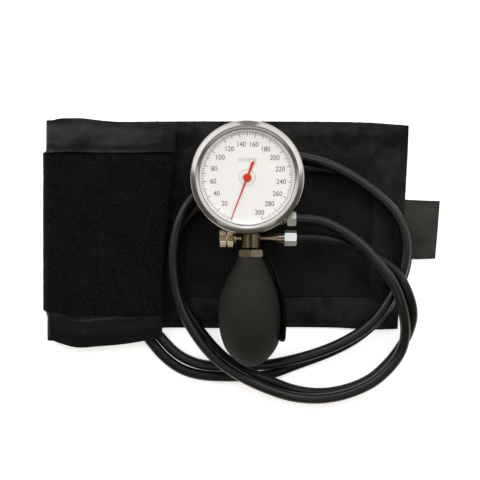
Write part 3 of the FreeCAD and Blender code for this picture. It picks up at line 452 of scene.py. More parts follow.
def tidy(o, distance=1e-7):
    import bmesh
    bm = bmesh.new()
    bm.from_mesh(o.data)
    bmesh.ops.remove_doubles(bm, verts=bm.verts, dist=distance)
    bmesh.ops.dissolve_degenerate(bm, edges=bm.edges, dist=distance)
    bmesh.ops.recalc_face_normals(bm, faces=bm.faces)
    bm.to_mesh(o.data)
    bm.free()
    o.data.update()


def smooth(t):
    t = max(0.0, min(1.0, t))
    return t * t * (3 - 2 * t)


def lerp_line(pts, t):
    """A point of a polyline by its share of x or length."""
    total = [0.0]
    for a, b in zip(pts, pts[1:]):
        total.append(total[-1] + math.dist(a, b))
    d = t * total[-1]
    for i in range(len(pts) - 1):
        if d <= total[i + 1] or i == len(pts) - 2:
            k = (d - total[i]) / max(1e-9, total[i + 1] - total[i])
            return tuple(a + (b - a) * k for a, b in zip(pts[i], pts[i + 1]))


def lerp_many(pts, n):
    return [lerp_line(pts, k / n) for k in range(n + 1)]


def soft_line(pts, steps=12):
    """A Catmull-Rom line through points."""
    out = []
    for i in range(len(pts) - 1):
        p0 = pts[max(0, i - 1)]
        p1, p2 = pts[i], pts[i + 1]
        p3 = pts[min(len(pts) - 1, i + 2)]
        for k in range(steps):
            t = k / steps
            out.append(tuple(0.5 * ((2 * b) + (-a + c) * t + (2 * a - 5 * b + 4 * c - d) * t * t + (-a + 3 * b - 3 * c + d) * t ** 3)
                             for a, b, c, d in zip(p0, p1, p2, p3)))
    out.append(tuple(pts[-1]))
    return out


def spaced(length, step, edges=(0.0, 0.35, 0.9, 1.7, 2.8, 4.2, 6.0), both=(True, True)):
    """Shares of a length, closer together near its ends."""
    lo = [e for e in edges] if both[0] else [0.0]
    hi = [length - e for e in reversed(edges)] if both[1] else [length]
    n = max(2, int((hi[0] - lo[-1]) / step))
    mid = [lo[-1] + (hi[0] - lo[-1]) * k / n for k in range(1, n)]
    return [v / length for v in lo + mid + hi]


def coons(left, right, bottom, top, u, v):
    """A point of a patch between four border lines. left and right run upwards, bottom and top to the right."""
    l, r, b, t = lerp_line(left, v), lerp_line(right, v), lerp_line(bottom, u), lerp_line(top, u)
    c00, c10, c01, c11 = bottom[0], bottom[-1], top[0], top[-1]
    return tuple((1 - u) * l[i] + u * r[i] + (1 - v) * b[i] + v * t[i]
                 - ((1 - u) * (1 - v) * c00[i] + u * (1 - v) * c10[i] + (1 - u) * v * c01[i] + u * v * c11[i]) for i in (0, 1))


def pad(name, left, right, bottom, top, step, height, mats, both=(True, True), edges=(0.0, 0.35, 0.9, 1.7, 2.8, 4.2, 6.0), **kw):
    """A closed pad over a four-sided outline. height(x, y, edge distances (l, r, b, t)) gives its (low, high) z."""
    wide = max(math.dist(bottom[0], bottom[-1]), 1)
    tall = max(math.dist(left[0], left[-1]), 1)
    us, vs = spaced(wide, step, edges, both), spaced(tall, step, edges)
    lowv, highv = [], []
    for v in vs:
        for u in us:
            x, y = coons(left, right, bottom, top, u, v)
            lo, hi = height(x, y, (u * wide if both[0] else 99, (1 - u) * wide if both[1] else 99, v * tall, (1 - v) * tall))
            lowv.append((x, y, lo))
            highv.append((x, y, hi))
    nu, nv = len(us), len(vs)
    verts = highv + lowv
    k = len(highv)
    faces = []
    for j in range(nv - 1):
        for i in range(nu - 1):
            a = j * nu + i
            faces.append([a, a + 1, a + nu + 1, a + nu])
            faces.append([k + a, k + a + nu, k + a + nu + 1, k + a + 1])
    rim = [i for i in range(nu)] + [j * nu + nu - 1 for j in range(1, nv)] + [(nv - 1) * nu + i for i in range(nu - 2, -1, -1)] + [j * nu for j in range(nv - 2, 0, -1)]
    for a, b in zip(rim, rim[1:] + rim[:1]):
        faces.append([k + a, k + b, b, a])
    return make(name, verts, faces, mats, sharp=60, **kw)


def fbm(x, y, scale, seed=0.0, octaves=3):
    v, amp, tot = 0.0, 1.0, 0.0
    for o in range(octaves):
        v += amp * noise.noise(Vector((x / scale * 2 ** o, y / scale * 2 ** o, seed + 7.3 * o)))
        tot += amp
        amp *= 0.5
    return v / tot


def stitches(name, line, pitch, z_of, length=1.9, width=0.36, lift=0.10):
    """A row of sewing stitches along a line, as small rounded threads that lie on the cloth."""
    verts, faces, d = [], [], 0.0
    total = sum(math.dist(a, b) for a, b in zip(line, line[1:]))
    n = int(total / pitch)
    for k in range(n):
        a, b = lerp_line(line, (k * pitch + 0.2) / total), lerp_line(line, (k * pitch + 0.2 + length) / total)
        dx, dy = b[0] - a[0], b[1] - a[1]
        q = math.hypot(dx, dy)
        if q < 1e-6:
            continue
        dx, dy = dx / q, dy / q
        base = len(verts)
        for t, w_, h_ in ((0.0, 0.25, -0.12), (0.12, 0.8, 0.04), (0.5, 1.0, 0.16), (0.88, 0.8, 0.04), (1.0, 0.25, -0.12)):
            x, y = a[0] + (b[0] - a[0]) * t, a[1] + (b[1] - a[1]) * t
            z = z_of(x, y) + lift + h_
            for ang in range(6):
                c, s = math.cos(ang * math.pi / 3) * width / 2 * w_, math.sin(ang * math.pi / 3) * width / 2 * w_
                verts.append((x - dy * c, y + dx * c, z + s))
        for r in range(4):
            for ang in range(6):
                p, q2 = base + r * 6 + ang, base + r * 6 + (ang + 1) % 6
                faces.append([p, q2, q2 + 6, p + 6])
        faces.append([base + i for i in range(5, -1, -1)])
        faces.append([base + 24 + i for i in range(6)])
    return verts, faces


def stitch_piece(name, lines, pitch, z_of, body, slot_name, mat=thread):
    verts, faces = [], []
    for line in lines:
        v, f = stitches(name, line, pitch, z_of)
        faces += [[i + len(verts) for i in q] for q in f]
        verts += v
    return make(name, verts, faces, mat, body=body, slot=slot_name)


# ------------------------------------------------------------------ camera, floor, lights
scene = bpy.context.scene
cam_data = bpy.data.cameras.new("camera")
cam_data.sensor_width = 36.0
cam_data.lens = 85.227
cam_data.clip_start = 0.01
cam = bpy.data.objects.new("camera", cam_data)
cam.location = (-0.0016, 0.00045, 0.75)
cam.rotation_euler = (0, 0, 0)
scene.collection.objects.link(cam)
scene.camera = cam
scene.view_settings.view_transform = "Standard"
scene.view_settings.look = "None"

floor_mesh = bpy.data.meshes.new("floor")
floor_mesh.from_pydata([(-3, -3, -0.0002), (3, -3, -0.0002), (3, 3, -0.0002), (-3, 3, -0.0002)], [], [[0, 1, 2, 3]])
floor = bpy.data.objects.new("floor", floor_mesh)
scene.collection.objects.link(floor)
fm = bpy.data.materials.new("floor_white")
fm.use_nodes = True
ft = fm.node_tree
ft.nodes.remove(ft.nodes["Principled BSDF"])
em = ft.nodes.new("ShaderNodeEmission")
em.inputs["Strength"].default_value = 0.60
# white where the camera looks, and dimmer further out, so that the metal doesn't mirror an endless light table
fc = ft.nodes.new("ShaderNodeTexCoord")
fl = ft.nodes.new("ShaderNodeVectorMath")
fl.operation = "LENGTH"
ft.links.new(fc.outputs["Object"], fl.inputs[0])
fr = ft.nodes.new("ShaderNodeValToRGB")
fr.color_ramp.elements[0].position, fr.color_ramp.elements[0].color = 0.26, (1, 1, 1, 1)
fr.color_ramp.elements[1].position, fr.color_ramp.elements[1].color = 0.42, (0.30, 0.28, 0.26, 1)
ft.links.new(fl.outputs["Value"], fr.inputs["Fac"])
ft.links.new(fr.outputs["Color"], em.inputs["Color"])
df = ft.nodes.new("ShaderNodeBsdfDiffuse")
ft.links.new(fr.outputs["Color"], df.inputs["Color"])
both = ft.nodes.new("ShaderNodeAddShader")
ft.links.new(em.outputs[0], both.inputs[0])
ft.links.new(df.outputs[0], both.inputs[1])
ft.links.new(both.outputs[0], ft.nodes["Material Output"].inputs["Surface"])
floor_mesh.materials.append(fm)

world = bpy.data.worlds.new("studio")
scene.world = world
world.use_nodes = True
wt = world.node_tree
bg = wt.nodes["Background"]
geo = wt.nodes.new("ShaderNodeTexCoord")
sep = wt.nodes.new("ShaderNodeSeparateXYZ")
wt.links.new(geo.outputs["Generated"], sep.inputs[0])


def wmath(op, a, b):
    n = wt.nodes.new("ShaderNodeMath")
    n.operation = op
    for i, v in enumerate((a, b)):
        if isinstance(v, (int, float)):
            n.inputs[i].default_value = v
        else:
            wt.links.new(v, n.inputs[i])
    return n.outputs[0]


# dim and warm low down on the bulb's side, pale above, with two soft bright lobes behind the gauge
lift = wmath("ADD", wmath("MULTIPLY", sep.outputs["Y"], 0.42), wmath("MULTIPLY", sep.outputs["Z"], 0.42))
wr = wt.nodes.new("ShaderNodeValToRGB")
el = wr.color_ramp.elements
el[0].position, el[0].color = 0.05, (0.26, 0.19, 0.13, 1)
el[1].position, el[1].color = 0.95, (0.62, 0.62, 0.63, 1)
e2 = el.new(0.50)
e2.color = (0.28, 0.237, 0.198, 1)
wt.links.new(wmath("ADD", lift, 0.28), wr.inputs["Fac"])


def lobe(direction, edge, full, gain):
    d = Vector(direction).normalized()
    dot = wmath("ADD", wmath("ADD", wmath("MULTIPLY", sep.outputs["X"], d.x), wmath("MULTIPLY", sep.outputs["Y"], d.y)), wmath("MULTIPLY", sep.outputs["Z"], d.z))
    mr = wt.nodes.new("ShaderNodeMapRange")
    mr.interpolation_type = "SMOOTHSTEP"
    for k, v in zip((1, 2, 3, 4), (edge, full, 0.0, gain)):
        mr.inputs[k].default_value = v
    wt.links.new(dot, mr.inputs[0])
    return mr.outputs[0]


lobes = wmath("ADD", wmath("ADD", lobe((-0.75, 0.55, 0.35), 0.80, 0.97, 0.8), lobe((0.85, 0.35, 0.40), 0.82, 0.97, 0.6)), lobe((0.0, 0.0, 1.0), 0.90, 0.99, -0.28))
mixer = wt.nodes.new("ShaderNodeVectorMath")
mixer.operation = "ADD"
wt.links.new(wr.outputs["Color"], mixer.inputs[0])
wt.links.new(lobes, mixer.inputs[1])
wt.links.new(mixer.outputs[0], bg.inputs["Color"])
bg.inputs["Strength"].default_value = 0.78


def area(name, at, to, size, power, color=(1, 1, 1)):
    d = bpy.data.lights.new(name, "AREA")
    d.shape = "RECTANGLE"
    d.size, d.size_y = size
    d.energy = power
    d.color = color
    o = bpy.data.objects.new(name, d)
    o.location = at
    o.rotation_euler = (Vector(to) - Vector(at)).to_track_quat("-Z", "Y").to_euler()
    scene.collection.objects.link(o)
    return o


area("key_left", (-0.46, 0.53, 0.70), (0, 0, 0), (0.98, 0.94), 4.0)
area("key_right", (0.48, 0.50, 0.72), (0, 0, 0), (0.94, 0.94), 4.0)
area("front", (0.0, -0.42, 0.90), (0, 0, 0), (0.9, 0.5), 1.1)

# ------------------------------------------------------------------ cuff: the lower panel
P_LEFT = [(RX, -64.9), (RX, 78.4)]
P_RIGHT = soft_line([(102.2, -58.2), (103.6, -38.0), (105.0, -11.9), (106.3, 10.0), (107.7, 36.0), (108.9, 58.0), (109.6, 75.9)], 6)
P_BOTTOM = soft_line([(RX, -64.9), (-98.0, -62.3), (-75.0, -60.0), (-52.0, -57.4), (-15.0, -57.6), (20.0, -57.0), (60.0, -57.3), (84.0, -58.6), (102.2, -58.2)], 8)
P_TOP = soft_line([(RX, 78.4), (-80.0, 78.4), (-30.0, 78.7), (20.0, 78.6), (60.0, 78.4), (86.0, 77.7), (109.6, 75.9)], 8)
P_TOP = [P_TOP[0]] + [(x, y + 0.28 * noise.noise(Vector((x * 0.42, 3.0, 1.0)))) for x, y in lerp_many(P_TOP, 150)[1:-1]] + [P_TOP[-1]]
PORTS = [((-57.8, -58.4), (-0.640, 0.768)), ((-65.0, -58.9), (-0.527, 0.850))]
HK = (-37.4, 85.2, -36.6, 57.4)          # hook patch, about


def bump_at(x, y, cx, cy, rx, ry):
    return math.exp(-((x - cx) / rx) ** 2 - ((y - cy) / ry) ** 2)


def panel_top(x, y, dist):
    l, r, b, t = dist
    d = min(r, b, t)
    hem = 1.5 + 0.5 * smooth(d / 1.2) - 0.12 * bump_at(d, 0, 3.2, 0, 0.7, 1)
    z = hem + 3.9 * smooth((min(r, 1.7 * b, t) - 0.8) / 10.0)
    over = smooth((x - HK[0] + 3) / 3) * smooth((HK[1] + 3 - x) / 3) * smooth((y - HK[2] + 3) / 3) * smooth((HK[3] + 3 - y) / 3)
    soft = 1 - over
    z += soft * smooth(d / 5) * (0.55 * fbm(x, y, 34, 1.0) + 0.22 * fbm(x, y, 11, 5.0))
    # puckers that run in from the hem below and above the hook patch
    low = smooth((HK[2] - y) / 6) * smooth((y + 57) / 8)
    z += low * 0.45 * (math.sin(x * 0.155 + 1.2 * fbm(x, y, 30, 9.0)) - 0.2)
    z += low * (0.7 * bump_at(x, y, 49, -40.0, 6, 3) + 0.8 * bump_at(x, y, 69, -40.5, 9, 3) + 0.6 * bump_at(x, y, 88, -44, 7, 6) - 0.6 * bump_at(x, y, 72, -48, 9, 5))
    z += low * (0.5 * bump_at(x, y, 24, -43, 8, 3) - 0.5 * bump_at(x, y, 33, -47, 7, 5) + 0.35 * fbm(x, y, 9, 17.0))
    high = smooth((y - HK[3]) / 5) * smooth((76 - y) / 6)
    z += high * 0.35 * math.sin(x * 0.11 + 0.9 + 1.5 * fbm(x, y, 26, 3.0))
    right = smooth((x - HK[1] - 1) / 5) * smooth((104.5 - x) / 6)
    z += right * (0.35 * math.sin(y * 0.13 + 0.6) + 0.9 * bump_at(x, y, 96, 41, 6, 8) - 0.5 * bump_at(x, y, 99, 55, 6, 7) + 0.5 * fbm(x, y, 12, 15.0))
    top = 5.75 - 0.25 * soft
    z = min(z, top + 0.25 * soft * fbm(x, y, 18, 2.0))
    for (px, py), (ux, uy) in PORTS:
        s = (x - px) * ux + (y - py) * uy
        q = abs((x - px) * uy - (y - py) * ux)
        z = max(z, 6.3 * math.exp(-(q / 4.2) ** 4) * smooth((s + 3.5) / 3) * smooth((14 - s) / 6))
    return z


def panel_height(x, y, dist):
    d = min(dist[1:])
    return 0.02 + 0.5 * (1 - smooth(d / 0.6)), max(0.7, panel_top(x, y, dist))


panel = pad("cuff_panel", P_LEFT, P_RIGHT, P_BOTTOM, P_TOP, 1.7, panel_height, nylon, both=(False, True),
            body="base", stands_for=("cuff_lining", "cuff_cover"), slot="nylon")


def panel_dist(x, y):
    """Rough distances of a point of the panel to its right, bottom and top borders."""
    xr = 105.7 + (y - 0.0) * 0.055
    yb = -57.4 if x > -52 else -57.4 - (-52 - x) * 0.14
    yt = 78.6 if x < 60 else 78.5 - (x - 60) * 0.05
    return (99, xr - x, y - yb, yt - y)


def panel_z(x, y):
    return panel_top(x, y, panel_dist(x, y))


def inset(line, dx, dy):
    return [(x + dx, y + dy) for x, y in line]


hem_lines = [inset([p for p in P_BOTTOM if p[0] > -52], 0, 3.2), inset(P_TOP, 0, -3.2), inset(P_RIGHT, -3.2, 0)[2:-2]]
stitch_piece("hem_stitches", hem_lines, 2.7, panel_z, "base", "nylon")

# hook patch: ribs of small hooks on a woven tape, with a plain border
def hook_side(t, right):
    return 83.4 + 3.6 * t + 0.25 * math.sin(t * 5) if right else -36.8 - 1.2 * t + 0.2 * math.sin(t * 6)


def hook_top(x, y, d):
    edge = smooth(d / 0.8)
    inner = smooth((d - 1.6) / 1.0)
    rib = 0.5 + 0.5 * math.cos(2 * math.pi * x / 1.36)
    row = round(x / 1.36)
    tuft = 0.90 + 0.10 * math.cos(2 * math.pi * y / 1.28 + 6.3 * noise.noise(Vector((row * 3.7, y * 0.05, 6.0))))
    worn = 0.75 + 0.5 * noise.noise(Vector((x * 0.07, y * 0.07, 2.0)))
    z = 6.12 + 0.25 * edge + inner * (0.04 + 0.45 * worn * rib * tuft) + 0.16 * fbm(x, y, 25, 4.0)
    return min(z, 7.1)


hnu, hnv = 306, 190
hv, hf = [], []
for j in range(hnv + 1):
    t = j / hnv
    y = HK[2] + (HK[3] - HK[2]) * t
    xl, xr = hook_side(t, False), hook_side(t, True)
    for i in range(hnu + 1):
        x = xl + (xr - xl) * i / hnu
        hv.append((x, y + 0.35 * math.sin(x * 0.05), hook_top(x, y, min(x - xl, xr - x, y - HK[2], HK[3] - y))))
k0 = len(hv)
w0 = hnu + 1
for x, y in ((hook_side(0, False), HK[2]), (hook_side(0, True), HK[2]), (hook_side(1, True), HK[3]), (hook_side(1, False), HK[3])):
    hv.append((x, y + 0.35 * math.sin(x * 0.05), 5.45))
for j in range(hnv):
    for i in range(hnu):
        a = j * w0 + i
        hf.append([a, a + 1, a + w0 + 1, a + w0])
south = list(range(0, w0))
east = [j * w0 + hnu for j in range(hnv + 1)]
north = [hnv * w0 + i for i in range(hnu, -1, -1)]
west = [j * w0 for j in range(hnv, -1, -1)]
for side, (c1, c2) in zip((south, east, north, west), ((k0, k0 + 1), (k0 + 1, k0 + 2), (k0 + 2, k0 + 3), (k0 + 3, k0))):
    hf.append([c1, c2] + side[::-1])
hf.append([k0 + 3, k0 + 2, k0 + 1, k0])
hooks = make("hook_patch_tape", hv, hf, hook, body="base", stands_for=("hook_patch",), slot="hook", sharp=50)
ring = [(-35.9, HK[2] + 0.9), (82.5, HK[2] + 0.6), (86.0, HK[3] - 0.9), (-36.9, HK[3] - 0.9), (-35.9, HK[2] + 0.9)]
stitch_piece("hook_stitches", [ring], 2.7, lambda x, y: 6.32, "base", "hook")

# ------------------------------------------------------------------ cuff: the folded flap
F_LEFT = [(RX, -65.3), (RX, 78.6)]
F_RIGHT = soft_line([(-52.3, -62.4), (-51.6, -40.0), (-50.3, -10.0), (-47.5, 20.0), (-44.5, 50.0), (-42.8, 76.2)], 6)
F_BOTTOM = soft_line([(RX, -65.3), (-117.5, -67.3), (-107.1, -69.7), (-92.8, -68.8), (-77.1, -67.4), (-61.5, -64.9), (-57.0, -64.2), (-52.3, -62.4)], 6)
F_TOP = soft_line([(RX, 78.6), (-118.7, 79.7), (-110.0, 79.9), (-103.0, 79.7), (-95.0, 78.7), (-87.0, 77.9), (-77.0, 77.3), (-60.0, 76.9), (-42.8, 76.2)], 6)
LP = (-48.6, 57.4)                      # loop patch, low and high y, about


def flap_edge(dist):
    """Half thickness of the flap from the distances to its free borders."""
    r = min(dist[1], 99)
    d = min(dist[2], dist[3])
    hr = 2.75 * math.sqrt(max(0.0, 1 - (1 - min(1, r / 6.0)) ** 2))
    hd = 0.75 + 2.0 * smooth((d - 0.8) / 8.5) if d > 0.8 else 0.75 * math.sqrt(max(0.05, 1 - (1 - d / 0.8) ** 2))
    return min(hr, hd) if r < 99 else hd


def flap_mid(x, y, dist):
    z = 10.75
    d = min(dist[2], dist[3])
    return z - 0.9 * (1 - smooth(d / 9.0))


def flap_top(x, y, dist):
    inner = smooth(min(dist[1:]) / 5)
    z = flap_mid(x, y, dist) + flap_edge(dist)
    free = smooth((y - LP[1] + 2) / 3) + smooth((LP[0] + 2 - y) / 3)
    left = smooth((x - FX) / 10)
    z += inner * free * left * (0.30 * fbm(x, y, 20, 11.0) + 0.12 * fbm(x, y, 7, 13.0) - 0.15)
    # the dip where the loop patch is sewn down, and soft folds in the cloth below it
    z -= 0.15 * math.exp(-((y - LP[1] - 2.4) / 1.9) ** 2)
    low = smooth((LP[0] - y) / 2) * smooth((y + 69) / 6)
    wob = 1.3 * noise.noise(Vector((x * 0.07, 2.0, 7.0))) + 0.5 * noise.noise(Vector((x * 0.25, 4.0, 7.0)))
    z += low * left * (0.50 * math.exp(-((y - LP[0] + 2.3 + wob) / 0.7) ** 2) * smooth((x + 112) / 4) * smooth((-62 - x) / 6) * (0.55 + 0.9 * noise.noise(Vector((x * 0.12, 9.0, 1.0))))
                       - 0.30 * math.exp(-((y - LP[0] + 5.2 + 1.6 * wob) / 2.4) ** 2) * (0.6 + 0.9 * noise.noise(Vector((x * 0.06, 5.0, 3.0))))
                       + 0.35 * fbm(x, y, 9, 37.0)
                       + 0.60 * math.exp(-((x + 103 - 0.12 * (y + 60)) / 4.2) ** 2) - 0.40 * math.exp(-((x + 112) / 4.5) ** 2)
                       + 0.25 * math.sin((x + 60) * 0.16 + 0.5))
    return min(z, 13.5)


def flap_height(x, y, dist):
    hi = flap_top(x, y, dist)
    lo = flap_mid(x, y, dist) - flap_edge(dist)
    return min(lo, hi - 0.05), hi


flap = pad("cuff_flap_cloth", F_LEFT, F_RIGHT, F_BOTTOM, F_TOP, 1.5, flap_height, nylon_flap, both=(False, True),
           body="flap", stands_for=("cuff_flap",), slot="nylon")


def flap_dist(x, y):
    xr = -51.9 + max(0.0, y + 30) * 0.088
    yb = -69.7 + abs(x + 107) * (0.27 if x < -107 else 0.095)
    yt = 79.8 if x < -103 else 77.3 + max(0.0, -77 - x) * 0.096
    return (99, xr - x, y - yb, yt - y)


def flap_z(x, y):
    return flap_top(x, y, flap_dist(x, y))


L_LEFT = [(RX, -46.0), (RX, LP[1])]
L_RIGHT = [(-52.5, -47.0), (-50.9, -10.0), (-44.4, LP[1])]
L_BOTTOM = soft_line([(RX, -46.0), (-115.0, -47.8), (-108.0, -48.5), (-92.0, -48.5), (-75.0, -48.9), (-57.0, -48.4), (-52.5, -47.0)], 5)
L_TOP = [(RX, LP[1]), (-110.0, LP[1] + 0.4), (-95.0, LP[1] - 0.2), (-70.0, LP[1] - 0.3), (-55.0, LP[1] + 0.3), (-44.4, LP[1])]


def loop_height(x, y, dist):
    r = dist[1]
    base = 10.75 + 2.75 * math.sqrt(max(0.0, 1 - (1 - min(1, (r + 1.0) / 6.5)) ** 2))
    d = min(dist[1:])
    nap = 0.24 * noise.noise(Vector((x * 1.5, y * 1.5, 3.0))) + 0.16 * noise.noise(Vector((x * 0.7, y * 0.7, 8.0))) + 0.10 * fbm(x, y, 14, 21.0)
    thick = 0.25 + 0.75 * smooth(d / 1.2) * (0.45 + 0.55 * smooth(dist[3] / 4.0))
    return base - 0.6, min(14.7, base + thick + nap * smooth(d / 1.0) * smooth((x - FX) / 3 + 0.3))


loop_o = pad("loop_patch_tape", L_LEFT, L_RIGHT, L_BOTTOM, L_TOP, 0.8, loop_height, loop, both=(False, True), edges=(0.0, 0.3, 0.7, 1.2, 1.9),
             body="flap", stands_for=("loop_patch",), slot="loop")

# the fold between panel and flap: nylon, with the loop patch carried round it
vs = spaced(143.9, 1.4)
fv, ff, fi = [], [], []
outer_n, inner_n = 18, 8
per = outer_n + 1 + inner_n + 1
for v in vs:
    yp, yf = -64.9 + v * 143.3, -65.3 + v * 143.9
    p_lo, p_hi = panel_height(FX, yp, (99, 99, v * 143.3, (1 - v) * 143.3))
    fd = (99, 99, v * 143.9, (1 - v) * 143.9)
    f_lo, f_hi = flap_mid(FX, yf, fd) - flap_edge(fd), flap_top(FX, yf, fd)
    inl = smooth((yf + 46.0 + 0.8) / 1.0) * smooth((LP[1] + 0.8 - yf) / 1.0)
    reach = 5.0 + 2.0 * inl - 0.8 * smooth((-47 - yf) / 3) + 0.25 * fbm(0, yf, 16, 31.0)
    f_hi += 0.95 * inl
    mid_z, up, down = FZ, f_hi - FZ, FZ - p_lo
    for k in range(outer_n + 1):
        a = -math.pi / 2 + math.pi * k / outer_n
        t = k / outer_n
        x = FX - reach * math.cos(a)
        z = mid_z + (up if a > 0 else down) * math.sin(a)
        nap = inl * 0.14 * noise.noise(Vector((yf * 1.9, a * 12, 5.0)))
        if k in (0, outer_n):
            x = FX + 0.6
            nap = 0
        fv.append((x - nap, yp + (yf - yp) * t, z - (0.02 if k == 0 else 0)))
    for k in range(inner_n + 1):
        a = math.pi / 2 - math.pi * k / inner_n
        t = 1 - k / inner_n
        zz = (f_lo + p_hi) / 2 + (f_lo - p_hi) / 2 * math.sin(a)
        x = FX - 0.9 * math.cos(a)
        if k in (0, inner_n):
            x = FX + 0.6
        fv.append((x, yp + (yf - yp) * t, zz))
for j in range(len(vs) - 1):
    yf = -65.3 + (vs[j] + vs[j + 1]) / 2 * 143.9
    for i in range(per):
        i2 = (i + 1) % per
        ff.append([j * per + i, j * per + i2, (j + 1) * per + i2, (j + 1) * per + i])
        fi.append(1 if (i < outer_n and -46.4 < yf < LP[1] + 0.4 and i > 3) else 0)
ff.append(list(range(per)))
fi.append(0)
ff.append([(len(vs) - 1) * per + i for i in range(per - 1, -1, -1)])
fi.append(0)
fold = make("cuff_fold_cloth", fv, ff, [nylon_flap, loop], stands_for=("cuff_fold",), slot="nylon", sharp=60, index=fi)
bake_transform(fold)

flap_hems = [inset([p for p in F_BOTTOM if p[0] > -118], 0, 3.0), inset([p for p in F_TOP if p[0] > -120], 0, -2.8)]
stitch_piece("flap_stitches", flap_hems, 2.7, flap_z, "flap", "nylon")

# pull tab: a doubled webbing loop, soft and a little wavy
T_LEFT = [(103.7, -11.8), (104.9, 10.0), (105.9, 27.2)]
T_RIGHT = [(127.1, -11.9), (128.8, 8.0), (130.15, 26.2)]
T_BOTTOM = [(103.7, -11.8), (115.0, -12.3), (127.1, -11.9)]
T_TOP = [(105.9, 27.2), (118.0, 26.6), (130.15, 26.2)]


def tab_height(x, y, dist):
    d = min(dist[1:])
    wav = 0.45 * math.sin((x - 104) * 0.55 + y * 0.05) * smooth((x - 106) / 6) + 0.35 * fbm(x, y, 12, 41.0)
    round_ = math.sqrt(max(0.0, 1 - (1 - min(1, d / 0.7)) ** 2))
    rib = 0.05 * math.cos(2 * math.pi * y / 1.25)
    mid = 0.95 + wav * 0.5
    return max(0.02, mid - 0.55 * round_ - 0.2), mid + (0.6 + rib) * round_


tab = pad("pull_tab_webbing", T_LEFT, T_RIGHT, T_BOTTOM, T_TOP, 0.45, tab_height, webbing, both=(False, True), edges=(0.0, 0.2, 0.45, 0.8),
          body="base", stands_for=("pull_tab",), slot="webbing")

# ------------------------------------------------------------------ hoses
A = [(34.0, 13.8, 28.5), (45.0, 13.8, 28.5), (56.8, 10.4, 28.6), (73.7, -0.4, 30.1), (86.5, -14.4, 30.2),
     (96.8, -28.0, 28.9), (102.3, -42.9, 25.5), (105.4, -57.7, 18.6), (103.7, -71.7, 12.9), (95.3, -84.0, 10.3),
     (82.0, -94.9, 10.3), (58.4, -103.0, 10.2), (34.2, -102.6, 11.0), (13.6, -94.9, 17.7), (-4.8, -85.8, 18.0),
     (-20.2, -74.2, 18.2), (-33.6, -56.1, 17.8), (-42.3, -37.7, 17.5), (-45.4, -15.8, 17.7), (-44.0, 2.0, 17.7),
     (-39.4, 17.8, 17.3), (-31.9, 28.9, 14.0), (-22.1, 37.6, 10.7), (-9.8, 45.8, 10.7), (5.4, 52.7, 10.7),
     (22.0, 56.1, 10.6), (37.1, 54.7, 12.2), (53.8, 50.2, 18.2), (70.7, 42.0, 17.7), (86.4, 30.7, 17.8), (99.2, 18.1, 17.0),
     (105.3, 3.8, 16.8), (105.5, -11.2, 16.7), (101.5, -26.0, 16.7), (93.5, -40.7, 16.7), (83.4, -53.8, 17.1),
     (69.3, -63.8, 15.3), (52.0, -72.1, 10.3), (32.8, -77.7, 9.8), (15.0, -81.4, 6.8), (0.4, -82.1, 3.4),
     (-14.2, -82.5, 3.4), (-27.4, -81.6, 3.4), (-38.8, -77.2, 3.4), (-47.6, -70.6, 3.4), (-54.6, -62.2, 3.4)]
B = [(34.3, 1.72, 28.5), (45.0, 1.72, 28.5), (57.4, 0.3, 26.3), (71.5, -3.2, 22.4), (84.5, -9.5, 22.2), (98.0, -19.2, 23.4),
     (105.3, -31.5, 24.3), (110.3, -46.5, 18.5), (108.5, -59.1, 11.0), (103.4, -70.2, 5.8), (95.2, -81.4, 3.5),
     (81.4, -93.4, 3.4), (57.5, -100.6, 3.4), (35.6, -99.1, 3.5), (15.8, -90.4, 11.4), (-2.3, -83.1, 11.7),
     (-17.2, -71.4, 11.8), (-31.0, -54.3, 10.9), (-41.4, -37.3, 10.7), (-45.8, -14.9, 10.6), (-44.6, 0.6, 10.6),
     (-36.9, 14.6, 10.6), (-26.7, 23.7, 10.6), (-17.3, 31.3, 10.6), (-5.9, 38.7, 10.7), (8.4, 45.7, 10.7),
     (23.1, 49.1, 10.7), (37.9, 47.0, 10.7), (54.0, 47.2, 10.6), (70.6, 42.7, 10.6), (87.4, 30.6, 10.6),
     (100.4, 17.9, 10.0), (107.4, 3.8, 9.7), (107.8, -11.2, 9.6), (103.7, -27.0, 9.6), (95.4, -42.1, 9.5),
     (85.4, -54.8, 10.1), (71.7, -65.8, 8.0), (54.3, -74.7, 3.5), (35.9, -81.2, 3.4), (16.9, -88.6, 3.4), (2.5, -89.2, 3.4),
     (-13.0, -89.3, 3.4), (-27.6, -88.5, 3.4), (-40.1, -84.8, 3.4), (-49.9, -77.9, 3.4), (-57.3, -70.0, 3.4),
     (-62.8, -62.7, 3.4)]


def hose(name, pts, node, mat):
    c = bpy.data.curves.new(name, "CURVE")
    c.dimensions = "3D"
    s = c.splines.new("NURBS")
    s.points.add(len(pts) - 1)
    for p, (x, y, z) in zip(s.points, pts):
        p.co = (x * MM, y * MM, z * MM, 1)
    s.order_u = 3
    s.use_endpoint_u = True
    c.resolution_u = 10
    c.bevel_depth = 3.35 * MM
    c.bevel_resolution = 9
    c.use_fill_caps = True
    o = bpy.data.objects.new(name, c)
    scene.collection.objects.link(o)
    c.materials.append(mat.m)
    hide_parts(node)
    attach(o, "base")
    return o


hose("gauge_hose", A, "hose_gauge", hose_m)
# The bulb hose takes the darker copy of the rubber, as painted shade.
hose("bulb_hose", B, "hose_bulb", hose_shaded)

# ------------------------------------------------------------------ bulb
OUT = soft_line([(7.9, 10.35), (9.0, 13.0), (11.0, 17.3), (15.4, 25.6), (18.6, 33.2), (20.2, 42.0), (20.4, 47.2), (20.2, 51.5),
                 (19.3, 58.6), (16.5, 67.2), (12.2, 73.4), (7.6, 77.6), (4.9, 79.0)], 6)
bulb_pts = [(7.3, 10.3)] + OUT + [(4.4, 79.3), (3.9, 79.75), (3.4, 79.8), (3.2, 79.5), (3.2, 78.45)]
bulb_pts = [(0.0, 14.0), (4.5, 14.0), (4.5, 10.35)] + bulb_pts + [(0.0, 78.45)]


